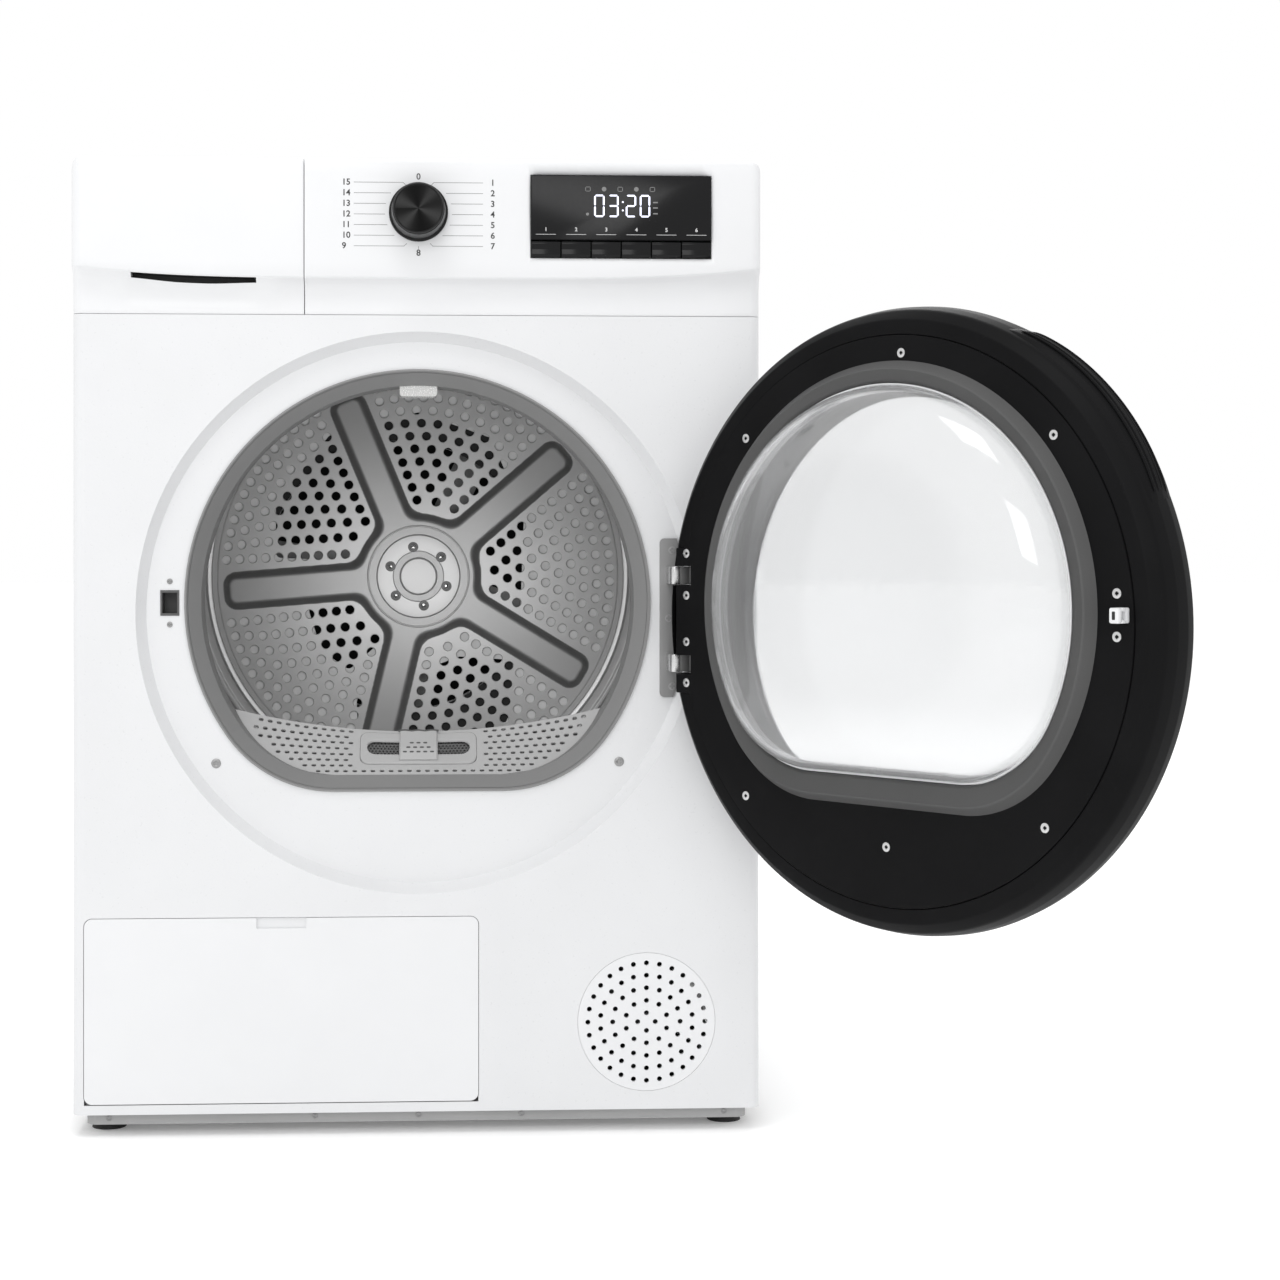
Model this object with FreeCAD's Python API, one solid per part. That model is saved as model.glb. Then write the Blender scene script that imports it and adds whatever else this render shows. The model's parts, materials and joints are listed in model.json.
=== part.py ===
"""Heat pump clothes dryer with its round door open, modelled as separate parts.

Millimetres.  +X is to the right when facing the machine, +Y points into it and +Z is up.
The origin is the centre of the cabinet's footprint, on the floor that its four feet stand on.
Each function makes one part; NODES at the end names them all and writes one STEP file each.
"""
import FreeCAD
import Part
import math
import os

Vector = FreeCAD.Vector

# ---------------------------------------------------------------- cabinet
HALF_WIDTH = 298.0          # half of the cabinet's width
HEIGHT = 845.0              # floor to the top of the worktop
FRONT_Y = -300.0            # front face of the painted front panel
REAR_Y = 270.0              # where the rear panel is screwed on
DUCT_REAR_Y = 300.0         # rearmost face, on the duct cover
SHEET = 1.2                 # painted steel sheet
FLANGE = 15.0               # width of the turned-in edges of the side panels
PANEL_BACK_Y = -290.0       # rear edge of the front panel's side returns
CORNER = 8.0                # radius of the cabinet's vertical front edges
PANEL_BOTTOM = 20.0
PANEL_TOP = 711.0           # joint between front panel and control fascia
SIDE_TOP = 824.0
WORKTOP_FRONT_Y = -288.4
WORKTOP_REAR_Y = 290.0

# ---------------------------------------------------------------- base and feet
BASE_HALF_WIDTH = 288.0
BASE_FRONT_Y = -288.0
BASE_REAR_Y = 262.0
BASE_BOTTOM = 9.0
BASE_FLOOR = 14.0
BASE_RIM = 34.0
BASE_WALL = 4.0
FOOT_X = 272.0
FOOT_Y = {"front": -255.0, "rear": 235.0}
FOOT_RADIUS = 15.0
FOOT_HEIGHT = 8.7
STEM_RADIUS = 5.0
RUNNING_CLEARANCE = 0.08    # radial, on every pin, stem and shaft

# ---------------------------------------------------------------- door opening
RECESS_Z = 453.0            # centre of the round recess that the door closes into
RECESS_RADIUS = 244.0
RECESS_DEPTH = 10.0
RECESS_Y = FRONT_Y + RECESS_DEPTH
MOUTH_Z = 462.0             # centre of the D-shaped opening
MOUTH_RADIUS = 190.0        # inner edge of the bezel
MOUTH_DROP = 152.0          # centre of the opening down to its flat bottom
MOUTH_CORNER = 100.0
BEZEL_WIDTH = 13.0
BEZEL_DEPTH = 18.0
BEZEL_Y = RECESS_Y - 2.0
TUNNEL_BACK_Y = -236.0

# ---------------------------------------------------------------- drum
DRUM_Z = 478.0
DRUM_RADIUS = 285.0
NECK_RADIUS = 269.2
DRUM_SHEET = 1.2
NECK_FRONT_Y = -252.0
DRUM_FRONT_Y = -226.5
DRUM_BACK_Y = 226.0
SPOKE_COUNT = 5
SPOKE_START_DEG = 40.6
SPOKE_HALF_WIDTH = 20.0
SPOKE_END_RADIUS = 212.0
SPOKE_HEIGHT = 12.0
HUB_RADIUS = 66.0
HOLE_RADIUS = 5.0
HOLE_RING_FIRST = 83.5
HOLE_RING_PITCH = 14.05
HOLES_PER_SECTOR = (3, 4, 5, 6, 7, 8, 9, 10, 12, 14)
HOLE_EDGE_INNER = 30.5      # end holes' distance from the spoke's centre line, first ring
HOLE_EDGE_OUTER = 34.6      # the same on the last ring
LIFTER_COUNT = 3
LIFTER_HEIGHT = 41.0
SHAFT_RADIUS = 12.0
AIR_INLET_X = -20.0         # centre of the round air inlet in the rear panel
AIR_INLET_RADIUS = 150.0
BRACKET_ARMS_DEG = (65.0, 172.0, 268.0, 340.0)
BRACKET_REACH = 190.0

# ---------------------------------------------------------------- drive
DRIVE_X = 185.0
DRIVE_Z = 140.0
BELT_Y = -20.0
BELT_WIDTH = 10.0
BELT_THICKNESS = 2.0
BELT_CLEARANCE = 0.4
PULLEY_RADIUS = 9.0
IDLER_RADIUS = 15.0
IDLER_PLACE = 0.62          # along the belt's lower run, from drum to pulley
MOTOR_RADIUS = 58.0
ROTOR_RADIUS = 6.0
FAN_RADIUS = 75.0
FAN_BLADES = 20

# ---------------------------------------------------------------- door
DOOR_Z = 452.0
DOOR_RADIUS = 247.0
DOOR_OPEN_DEG = 129.4       # how far the door stands open at rest
HINGE_X = 236.0
HINGE_Y = -321.0
HINGE_ARMS_Z = (409.8, 485.5)
HINGE_ARM_HEIGHT = 15.0
KNUCKLE_RADIUS = 7.5
PIN_RADIUS = 3.0
COVER_Y = -293.0            # inner face of the closed door
COVER_RADIUS = 223.0
COVER_THICKNESS = 3.0
WINDOW_RADIUS = 184.0
BOWL_RADIUS = 174.0
BOWL_DROP = 130.0
BOWL_CORNER = 92.0
BOWL_WALL = 3.5
LATCH_X = -215.5
LATCH_Z = 461.4

# ---------------------------------------------------------------- control panel
FASCIA_Y = -310.0
FASCIA_BACK_Y = -290.3
FASCIA_WALL = 3.0
CREASE_Z = 745.0
DRAWER_SPLIT_X = -98.5      # joint between the tank drawer and the fascia
SPLIT_GAP = 0.3
KNOB_Z = 799.0
KNOB_RADIUS = 22.4
KNOB_BASE_RADIUS = 25.5
KNOB_FRONT_Y = -335.0
KNOB_SHAFT_RADIUS = 4.0
DISPLAY_LEFT = 97.0
DISPLAY_RIGHT = 254.0
DISPLAY_BOTTOM = 760.0
DISPLAY_TOP = 832.0
BUTTON_TOP = 775.0
BUTTON_COUNT = 6
DISPLAY_FRONT_Y = -312.5

# ---------------------------------------------------------------- lower front
FLAP_LEFT = -288.0
FLAP_RIGHT = 52.0
FLAP_BOTTOM = 29.0
FLAP_TOP = 189.0
FLAP_GAP = 0.5
FLAP_CORNER = 7.0
FLAP_AXIS_Y = -298.5
FLAP_AXIS_Z = 32.0
GRILLE_X = 198.6
GRILLE_Z = 96.0
GRILLE_RADIUS = 60.0
GRILLE_HOLE_RADIUS = 2.2
GRILLE_RINGS = ((7.7, 4), (18.5, 10), (29.5, 16), (40.4, 22), (51.2, 28))


# ================================================================ helpers
def box(x0, x1, y0, y1, z0, z1):
    """Axis-aligned block between the given limits."""
    return Part.makeBox(x1 - x0, y1 - y0, z1 - z0, Vector(x0, y0, z0))


def rod_x(y, z, radius, x0, x1):
    return Part.makeCylinder(radius, x1 - x0, Vector(x0, y, z), Vector(1, 0, 0))


def rod_y(x, z, radius, y0, y1):
    return Part.makeCylinder(radius, y1 - y0, Vector(x, y0, z), Vector(0, 1, 0))


def rod_z(x, y, radius, z0, z1):
    return Part.makeCylinder(radius, z1 - z0, Vector(x, y, z0), Vector(0, 0, 1))


def ring_y(x, z, inner, outer, y0, y1):
    return rod_y(x, z, outer, y0, y1).cut(rod_y(x, z, inner, y0 - 1, y1 + 1))


def fuse(shapes):
    """One solid from several that touch or overlap."""
    return shapes[0].multiFuse(shapes[1:]).removeSplitter()


def polar(radius, degrees):
    angle = math.radians(degrees)
    return radius * math.cos(angle), radius * math.sin(angle)


def evenly(count, start=0.0):
    """Angles in degrees of count places spread round a circle."""
    return [start + 360.0 * i / count for i in range(count)]


def revolve_y(x, z, profile):
    """Solid of revolution about the Y line through (x, z); profile holds (radius, y) corners."""
    corners = [Vector(x + r, y, z) for r, y in profile]
    face = Part.Face(Part.makePolygon(corners + corners[:1]))
    return face.revolve(Vector(x, 0, z), Vector(0, 1, 0), 360)


def mouth_wire(inset, y, radius=MOUTH_RADIUS, drop=MOUTH_DROP, corner=MOUTH_CORNER):
    """D-shaped outline, round above and flat below, moved inwards by inset."""
    big = radius - inset
    low = drop - inset
    small = corner - inset
    side = math.sqrt((big - small) ** 2 - (low - small) ** 2)
    joint_x = side * big / (big - small)
    joint_z = (small - low) * big / (big - small)
    turn = math.atan2(joint_z - (small - low), joint_x - side)
    middle = (turn - math.pi / 2) / 2
    bulge_x = side + small * math.cos(middle)
    bulge_z = small - low + small * math.sin(middle)

    def at(px, pz):
        return Vector(px, y, MOUTH_Z + pz)

    edges = [
        Part.Arc(at(joint_x, joint_z), at(0, big), at(-joint_x, joint_z)).toShape(),
        Part.Arc(at(-joint_x, joint_z), at(-bulge_x, bulge_z), at(-side, -low)).toShape(),
        Part.makeLine(at(-side, -low), at(side, -low)),
        Part.Arc(at(side, -low), at(bulge_x, bulge_z), at(joint_x, joint_z)).toShape(),
    ]
    return Part.Wire(edges)


def mouth_prism(inset, y0, y1):
    return Part.Face(mouth_wire(inset, y0)).extrude(Vector(0, y1 - y0, 0))


def bowl_prism(inset, y0, y1):
    wire = mouth_wire(inset, y0, BOWL_RADIUS, BOWL_DROP, BOWL_CORNER)
    return Part.Face(wire).extrude(Vector(0, y1 - y0, 0))


def loop_wire(x0, z0, r0, x1, z1, r1, y):
    """Outline of a band stretched round two circles in the plane at y."""
    along = math.atan2(z1 - z0, x1 - x0)
    spread = math.acos((r0 - r1) / math.hypot(x1 - x0, z1 - z0))

    def on(x, z, radius, angle):
        return Vector(x + radius * math.cos(angle), y, z + radius * math.sin(angle))

    first = on(x0, z0, r0, along + spread)
    second = on(x0, z0, r0, along - spread)
    third = on(x1, z1, r1, along - spread)
    fourth = on(x1, z1, r1, along + spread)
    edges = [
        Part.Arc(first, on(x0, z0, r0, along + math.pi), second).toShape(),
        Part.makeLine(second, third),
        Part.Arc(third, on(x1, z1, r1, along), fourth).toShape(),
        Part.makeLine(fourth, first),
    ]
    return Part.Wire(edges)


def loop_prism(x0, z0, r0, x1, z1, r1, y0, y1):
    wire = loop_wire(x0, z0, r0, x1, z1, r1, y0)
    return Part.Face(wire).extrude(Vector(0, y1 - y0, 0))


def bent_rod(points, bend, radius):
    """Round bar along straight runs that are joined by arcs of the given bend radius."""
    corners = [Vector(*p) for p in points]
    edges = []
    start = corners[0]
    for before, corner, after in zip(corners, corners[1:], corners[2:]):
        back = (before - corner).normalize()
        ahead = (after - corner).normalize()
        half = back.getAngle(ahead) / 2
        reach = bend / math.tan(half)
        middle = (back + ahead).normalize()
        depth = bend / math.sin(half) - bend
        enter = corner + back * reach
        leave = corner + ahead * reach
        edges.append(Part.makeLine(start, enter))
        edges.append(Part.Arc(enter, corner + middle * depth, leave).toShape())
        start = leave
    edges.append(Part.makeLine(start, corners[-1]))
    section = Part.Wire(Part.makeCircle(radius, corners[0], corners[1] - corners[0]))
    return Part.Wire(edges).makePipeShell([section], True, False)


def cut_fillet(shape, radius, wanted):
    """Round the edges for which wanted(edge) holds."""
    return shape.makeFillet(radius, [e for e in shape.Edges if wanted(e)])


def runs_along(edge, axis):
    """True for a straight edge parallel to the axis 'x', 'y' or 'z'."""
    if len(edge.Vertexes) != 2 or not isinstance(edge.Curve, Part.Line):
        return False
    ends = edge.Vertexes[1].Point - edge.Vertexes[0].Point
    return abs(getattr(ends.normalize(), axis)) > 0.999


def mirrored(shape):
    return shape.mirror(Vector(0, 0, 0), Vector(1, 0, 0))


# ================================================================ base and cabinet
def base_tray():
    outer = box(-BASE_HALF_WIDTH, BASE_HALF_WIDTH, BASE_FRONT_Y, BASE_REAR_Y, BASE_BOTTOM, BASE_RIM)
    outer = cut_fillet(outer, 10, lambda e: runs_along(e, "z"))
    inner = box(-BASE_HALF_WIDTH + BASE_WALL, BASE_HALF_WIDTH - BASE_WALL,
                BASE_FRONT_Y + BASE_WALL, BASE_REAR_Y - BASE_WALL, BASE_FLOOR, BASE_RIM + 1)
    tray = outer.cut(cut_fillet(inner, 6, lambda e: runs_along(e, "z")))
    places = [(side * FOOT_X, y) for side in (-1, 1) for y in FOOT_Y.values()]
    bosses = [rod_z(x, y, FOOT_RADIUS, BASE_BOTTOM, BASE_RIM) for x, y in places]
    tray = fuse([tray] + bosses)
    bore = STEM_RADIUS + RUNNING_CLEARANCE
    bores = [rod_z(x, y, bore, 0, BASE_RIM + 1) for x, y in places]
    return tray.cut(Part.makeCompound(bores))


def foot(side, end):
    x = side * FOOT_X
    y = FOOT_Y[end]
    pad = Part.makeCone(FOOT_RADIUS, FOOT_RADIUS - 2, FOOT_HEIGHT, Vector(x, y, 0))
    return fuse([pad, rod_z(x, y, STEM_RADIUS, FOOT_HEIGHT, BASE_RIM - 2)])


def side_panel(side):
    """Sheet with its front, rear and top edges turned inwards."""
    outside = box(HALF_WIDTH - FLANGE, HALF_WIDTH, PANEL_BACK_Y, REAR_Y, PANEL_BOTTOM, SIDE_TOP)
    inside = box(HALF_WIDTH - FLANGE - 1, HALF_WIDTH - 1, PANEL_BACK_Y + 1, REAR_Y - 1,
                 PANEL_BOTTOM - 1, SIDE_TOP - 1)
    panel = outside.cut(inside)
    return panel if side > 0 else mirrored(panel)


def panel_shell(half_width, front_y, corner, z0, z1):
    """Block whose two vertical front edges are rounded."""
    block = box(-half_width, half_width, front_y, PANEL_BACK_Y, z0, z1)
    return cut_fillet(block, corner, lambda e: runs_along(e, "z") and e.BoundBox.YMax < PANEL_BACK_Y - 1)


def flap_block(gap, y0, y1):
    block = box(FLAP_LEFT - gap, FLAP_RIGHT + gap, y0, y1, FLAP_BOTTOM - gap, FLAP_TOP + gap)
    return cut_fillet(block, FLAP_CORNER + gap, lambda e: runs_along(e, "y"))


def front_panel():
    """Pressed front with the round recess, the door opening, the flap opening and the grille seat."""
    shell = panel_shell(HALF_WIDTH, FRONT_Y, CORNER, PANEL_BOTTOM, PANEL_TOP)
    hollow = panel_shell(HALF_WIDTH - SHEET, FRONT_Y + SHEET, CORNER - SHEET,
                         PANEL_BOTTOM + SHEET, PANEL_TOP - SHEET)
    shell = shell.cut(hollow)
    slope = 8.4
    dish = revolve_y(0, RECESS_Z, [
        (0, RECESS_Y),
        (RECESS_RADIUS - slope, RECESS_Y),
        (RECESS_RADIUS, FRONT_Y),
        (RECESS_RADIUS + SHEET, FRONT_Y),
        (RECESS_RADIUS + SHEET, FRONT_Y + SHEET),
        (RECESS_RADIUS - slope + SHEET, RECESS_Y + SHEET),
        (0, RECESS_Y + SHEET),
    ])
    shell = shell.cut(rod_y(0, RECESS_Z, RECESS_RADIUS + SHEET / 2, FRONT_Y - 1, FRONT_Y + 3))
    panel = fuse([shell, dish])
    openings = [
        mouth_prism(-10.5, RECESS_Y - 1, RECESS_Y + 3),
        box(LATCH_X - 8.2, LATCH_X + 8.2, RECESS_Y - 1, RECESS_Y + 3, LATCH_Z - 11.1, LATCH_Z + 11.1),
        flap_block(FLAP_GAP, FRONT_Y - 1, FRONT_Y + 3),
        box(FLAP_LEFT, FLAP_RIGHT, FRONT_Y - 1, FRONT_Y + 3, FLAP_BOTTOM - 0.8, FLAP_BOTTOM + 8),
        rod_y(GRILLE_X, GRILLE_Z, GRILLE_RADIUS + 0.3, FRONT_Y - 1, FRONT_Y + 3),
    ]
    return panel.cut(Part.makeCompound(openings))


def rear_panel():
    sheet = box(-HALF_WIDTH + 2, HALF_WIDTH - 2, REAR_Y, REAR_Y + SHEET, PANEL_BOTTOM + 1, SIDE_TOP - 1)
    holes = [rod_y(DRIVE_X, DRIVE_Z, 60, REAR_Y - 1, REAR_Y + 3),
             rod_y(AIR_INLET_X, DRUM_Z, AIR_INLET_RADIUS, REAR_Y - 1, REAR_Y + 3)]
    return sheet.cut(Part.makeCompound(holes))


def rear_duct_cover():
    """Pressed cover that leads hot air from the fan up to the back of the drum."""
    start = REAR_Y + SHEET
    outer = loop_prism(0, DRUM_Z, 235, DRIVE_X, DRIVE_Z, 90, start, DUCT_REAR_Y)
    inner = loop_prism(0, DRUM_Z, 233.5, DRIVE_X, DRIVE_Z, 88.5, start - 1, DUCT_REAR_Y - 1.5)
    return outer.cut(inner)


def worktop():
    board = box(-HALF_WIDTH, HALF_WIDTH, WORKTOP_FRONT_Y, WORKTOP_REAR_Y, SIDE_TOP, HEIGHT)
    return cut_fillet(board, 4, lambda e: e.BoundBox.ZMin > HEIGHT - 1)


def cable_gland():
    x, z = -200.0, 110.0
    start = REAR_Y + SHEET
    corners = [Vector(x + px, start, z + pz) for px, pz in (polar(13, a) for a in evenly(6))]
    nut = Part.Face(Part.makePolygon(corners + corners[:1])).extrude(Vector(0, 6, 0))
    body = fuse([nut, rod_y(x, z, 9, start + 6, start + 14)])
    return body.cut(rod_y(x, z, 4.2, start - 1, start + 16))


# ================================================================ door opening and filter
def front_bulkhead():
    """Bezel, tunnel to the drum, and the plate and collar that carry the drum's front edge."""
    bezel = mouth_prism(-BEZEL_WIDTH, BEZEL_Y, RECESS_Y)
    collar_front = mouth_prism(-10, RECESS_Y, -280)
    tunnel = mouth_prism(-5, -280, TUNNEL_BACK_Y)
    plate = rod_y(0, DRUM_Z, 262, -268, -265)
    collar = ring_y(0, DRUM_Z, 255, 262, -265, TUNNEL_BACK_Y)
    duct = box(-54, 54, -265, -243, 240, 306)
    body = fuse([bezel, collar_front, tunnel, plate, collar, duct])
    slope = Part.makeLoft([mouth_wire(-BEZEL_WIDTH + 1.5, BEZEL_Y),
                           mouth_wire(0, BEZEL_Y + BEZEL_DEPTH)], True, True)
    throat = mouth_prism(0, BEZEL_Y + BEZEL_DEPTH - 0.01, TUNNEL_BACK_Y + 1)
    filter_well = box(-52, 52, -263, -245, 239, 320)
    return body.cut(slope).cut(throat).cut(filter_well)


def outlet_grille():
    """Sloping perforated cover in the bottom of the opening, with the slot for the filter."""
    def wedge(drop, reach):
        floor = MOUTH_Z - MOUTH_DROP
        corners = [Vector(-reach, y, z) for y, z in (
            (-274 + 2 * drop, floor), (-239, floor + 35 - drop), (-236 - drop, floor + 35 - drop),
            (-236 - drop, floor))]
        face = Part.Face(Part.makePolygon(corners + corners[:1]))
        return face.extrude(Vector(2 * reach, 0, 0))

    cover = wedge(0, 150).common(mouth_prism(0.2, -276, -234)).cut(wedge(2.5, 110))
    slots = [box(-50, 50, -262, -247, 300, 360)]
    for row, y in enumerate((-268, -243)):
        for i in range(-7, 8):
            slots.append(rod_z((i + row / 2) * 14.0, y, 2.0, 300, 360))
    return cover.cut(Part.makeCompound(slots))


def lint_filter():
    """Filter cassette with two mesh windows and a handle tab, lifted straight up."""
    front, back = -261.4, -247.6
    body = box(-49.4, 49.4, front, back, 250, 330)
    handle = box(-16, 16, front + 2, back - 2, 330, 333)
    windows = [box(x - 16, x + 16, front + 3, back - 3, 262, 340) for x in (-31, 31)]
    chamber = box(-46, 46, front - 1, front + 8, 262, 312)
    return fuse([body, handle]).cut(Part.makeCompound(windows + [chamber]))


def drum_lamp():
    lens = box(-16.5, 16.5, -272, -246, 642.5, MOUTH_Z + MOUTH_RADIUS + 1)
    lens = cut_fillet(lens, 3, lambda e: runs_along(e, "y") and e.BoundBox.ZMax < 645)
    return lens.common(mouth_prism(0, -275, -240))


def latch_socket():
    body = box(LATCH_X - 8, LATCH_X + 8, RECESS_Y - 0.8, -268, LATCH_Z - 10.85, LATCH_Z + 10.85)
    return body.cut(box(LATCH_X - 6.5, LATCH_X + 6.5, RECESS_Y - 2, -272, LATCH_Z - 9, LATCH_Z + 9))


def hinge_bracket():
    """Plate in the recess with two cranked arms that end in knuckles."""
    top = RECESS_Y - 2.5
    plate = box(211, 236, top, RECESS_Y, 378.5, 517.5)
    plate = plate.common(rod_y(0, RECESS_Z, RECESS_RADIUS - 9, top - 1, RECESS_Y + 1))
    pieces = [plate]
    for z in HINGE_ARMS_Z:
        low, high = z - HINGE_ARM_HEIGHT / 2, z + HINGE_ARM_HEIGHT / 2
        pieces.append(box(217, 226, -325, top, low, high))
        pieces.append(box(217, HINGE_X, -325, -315, low, high))
        pieces.append(rod_z(HINGE_X, HINGE_Y, KNUCKLE_RADIUS, low, high))
    bracket = fuse(pieces)
    cuts = [rod_z(HINGE_X, HINGE_Y, PIN_RADIUS + RUNNING_CLEARANCE, 300, 600)]
    cuts += [rod_y(x, z, 4.2, top - 1, top + 1.6) for x, z in hinge_screw_places()]
    return bracket.cut(Part.makeCompound(cuts))


def hinge_screw_places():
    return ((222.0, 507.0), (222.0, 388.0), (219.0, 447.6))


# ================================================================ drum
def drum_shell():
    inner = DRUM_RADIUS - DRUM_SHEET
    neck = NECK_RADIUS - DRUM_SHEET
    return revolve_y(0, DRUM_Z, [
        (neck, NECK_FRONT_Y), (NECK_RADIUS, NECK_FRONT_Y), (NECK_RADIUS, DRUM_FRONT_Y - 6),
        (DRUM_RADIUS, DRUM_FRONT_Y), (DRUM_RADIUS, DRUM_BACK_Y), (inner, DRUM_BACK_Y),
        (inner, DRUM_FRONT_Y + 0.8), (neck, DRUM_FRONT_Y - 5.2)])


def hole_places():
    """Centres (x, z) of the perforations: arcs of equally spaced holes between the spokes."""
    places = []
    last = len(HOLES_PER_SECTOR) - 1
    for row, count in enumerate(HOLES_PER_SECTOR):
        radius = HOLE_RING_FIRST + row * HOLE_RING_PITCH
        edge = HOLE_EDGE_INNER + (HOLE_EDGE_OUTER - HOLE_EDGE_INNER) * row / last
        margin = math.degrees(math.asin(edge / radius))
        sector = 360.0 / SPOKE_COUNT
        for spoke in evenly(SPOKE_COUNT, SPOKE_START_DEG):
            for i in range(count):
                turn = margin + (sector - 2 * margin) * i / (count - 1)
                places.append(polar(radius, spoke + turn))
    return places


def hub_and_spokes(inset, y0, y1):
    """Raised star of the rear wall: a round hub with five spokes."""
    width = SPOKE_HALF_WIDTH - inset
    reach = SPOKE_END_RADIUS - inset - width
    arms = [rod_y(0, DRUM_Z, HUB_RADIUS - inset, y0, y1)]
    for angle in evenly(SPOKE_COUNT, SPOKE_START_DEG):
        arm = box(0, reach, y0, y1, DRUM_Z - width, DRUM_Z + width)
        arm.rotate(Vector(0, 0, DRUM_Z), Vector(0, 1, 0), -angle)
        x, z = polar(reach, angle)
        arms += [arm, rod_y(x, DRUM_Z + z, width, y0, y1)]
    return fuse(arms)


def drum_rear_wall():
    front = DRUM_BACK_Y - DRUM_SHEET
    normal = Vector(0, 1, 0)
    rim = Part.Wire(Part.makeCircle(DRUM_RADIUS - DRUM_SHEET, Vector(0, front, DRUM_Z), normal))
    wires = [rim]
    for x, z in hole_places():
        wires.append(Part.Wire(Part.makeCircle(HOLE_RADIUS, Vector(x, front, DRUM_Z + z), normal)))
    sheet = Part.makeFace(wires, "Part::FaceMakerBullseye").extrude(Vector(0, DRUM_SHEET, 0))
    sheet = sheet.cut(hub_and_spokes(0, front - 1, DRUM_BACK_Y + 1))
    star = hub_and_spokes(0, front - SPOKE_HEIGHT, DRUM_BACK_Y)
    hollow = hub_and_spokes(DRUM_SHEET, front - SPOKE_HEIGHT + DRUM_SHEET, DRUM_BACK_Y + 1)
    star = star.cut(hollow).cut(rod_y(0, DRUM_Z, 49, DRUM_BACK_Y - 8, DRUM_BACK_Y + 1))
    return fuse([sheet, star])


def drum_lifters():
    """Hollow ribs that lift the laundry as the drum turns."""
    inner = DRUM_RADIUS - DRUM_SHEET
    shell = rod_y(0, DRUM_Z, inner, -210, 210)

    def rib(shrink, y0, y1):
        crest = inner - LIFTER_HEIGHT + shrink
        tip = 11.0 - shrink / 2
        corners = [(-34 + shrink, inner + 8), (-tip, crest + tip / 2), (tip, crest + tip / 2),
                   (34 - shrink, inner + 8)]
        points = [Vector(x, y0, DRUM_Z - z) for x, z in corners]
        wedge = Part.Face(Part.makePolygon(points + points[:1])).extrude(Vector(0, y1 - y0, 0))
        return wedge.fuse(rod_y(0, DRUM_Z - crest - tip, tip, y0, y1))

    lifters = []
    for angle in evenly(LIFTER_COUNT):
        lifter = rib(0, -200, 205).cut(rib(2.5, -197.5, 202.5)).common(shell)
        lifter.rotate(Vector(0, 0, DRUM_Z), Vector(0, 1, 0), angle)
        lifters.append(lifter.Solids[0])
    return Part.makeCompound(lifters)


def drum_shaft():
    return fuse([rod_y(0, DRUM_Z, 48, DRUM_BACK_Y, DRUM_BACK_Y + 6),
                 rod_y(0, DRUM_Z, SHAFT_RADIUS, DRUM_BACK_Y + 6, 262)])


def rear_bearing():
    """Bearing hub on a bracket whose arms cross the air inlet and rest on the rear panel."""
    pieces = [rod_y(0, DRUM_Z, 32, 238, 264), rod_y(0, DRUM_Z, 58, 264, REAR_Y)]
    for angle in BRACKET_ARMS_DEG:
        arm = box(0, BRACKET_REACH, REAR_Y - 4, REAR_Y, DRUM_Z - 17, DRUM_Z + 17)
        arm.rotate(Vector(0, 0, DRUM_Z), Vector(0, 1, 0), -angle)
        pieces.append(arm)
    return fuse(pieces).cut(rod_y(0, DRUM_Z, SHAFT_RADIUS + RUNNING_CLEARANCE, 230, REAR_Y + 1))


def drum_seals():
    """Felt band under the drum's front neck and the sealing collar behind its rear wall."""
    return Part.makeCompound([
        ring_y(0, DRUM_Z, 262, NECK_RADIUS - DRUM_SHEET - 0.4, -256, -238),
        ring_y(0, DRUM_Z, 246, 258, DRUM_BACK_Y + 1.5, REAR_Y)])


# ================================================================ drive and air path
def belt_loop(grow, y0, y1):
    return loop_prism(0, DRUM_Z, DRUM_RADIUS + BELT_CLEARANCE + grow,
                      DRIVE_X, DRIVE_Z, PULLEY_RADIUS + BELT_CLEARANCE + grow, y0, y1)


def drive_belt():
    low, high = BELT_Y - BELT_WIDTH / 2, BELT_Y + BELT_WIDTH / 2
    return belt_loop(BELT_THICKNESS, low, high).cut(belt_loop(0, low - 1, high + 1))


def idler_centre():
    """Point (x, z) below the belt's lower run where the idler just clears the belt."""
    along = math.atan2(DRIVE_Z - DRUM_Z, DRIVE_X)
    spread = math.acos((DRUM_RADIUS - PULLEY_RADIUS) / math.hypot(DRIVE_X, DRIVE_Z - DRUM_Z))
    way = along - spread
    reach = BELT_CLEARANCE + BELT_THICKNESS + 0.3 + IDLER_RADIUS
    x0 = (DRUM_RADIUS + reach) * math.cos(way)
    z0 = DRUM_Z + (DRUM_RADIUS + reach) * math.sin(way)
    x1 = DRIVE_X + (PULLEY_RADIUS + reach) * math.cos(way)
    z1 = DRIVE_Z + (PULLEY_RADIUS + reach) * math.sin(way)
    return x0 + (x1 - x0) * IDLER_PLACE, z0 + (z1 - z0) * IDLER_PLACE


def motor():
    """Motor body on its bracket, which also carries the stud of the idler pulley."""
    x, z = idler_centre()
    body = fuse([
        rod_y(DRIVE_X, DRIVE_Z, MOTOR_RADIUS, 2, 118),
        box(x - 16, 262, -4, 2, BASE_FLOOR, 188),
        box(DRIVE_X - 45, DRIVE_X + 45, 2, 118, BASE_FLOOR, BASE_FLOOR + 6),
        box(DRIVE_X - 3, DRIVE_X + 3, 2, 118, BASE_FLOOR, DRIVE_Z - MOTOR_RADIUS + 5),
        rod_y(x, z, 4, -32, -4),
    ])
    return body.cut(rod_y(DRIVE_X, DRIVE_Z, ROTOR_RADIUS + RUNNING_CLEARANCE, -5, 119))


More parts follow.
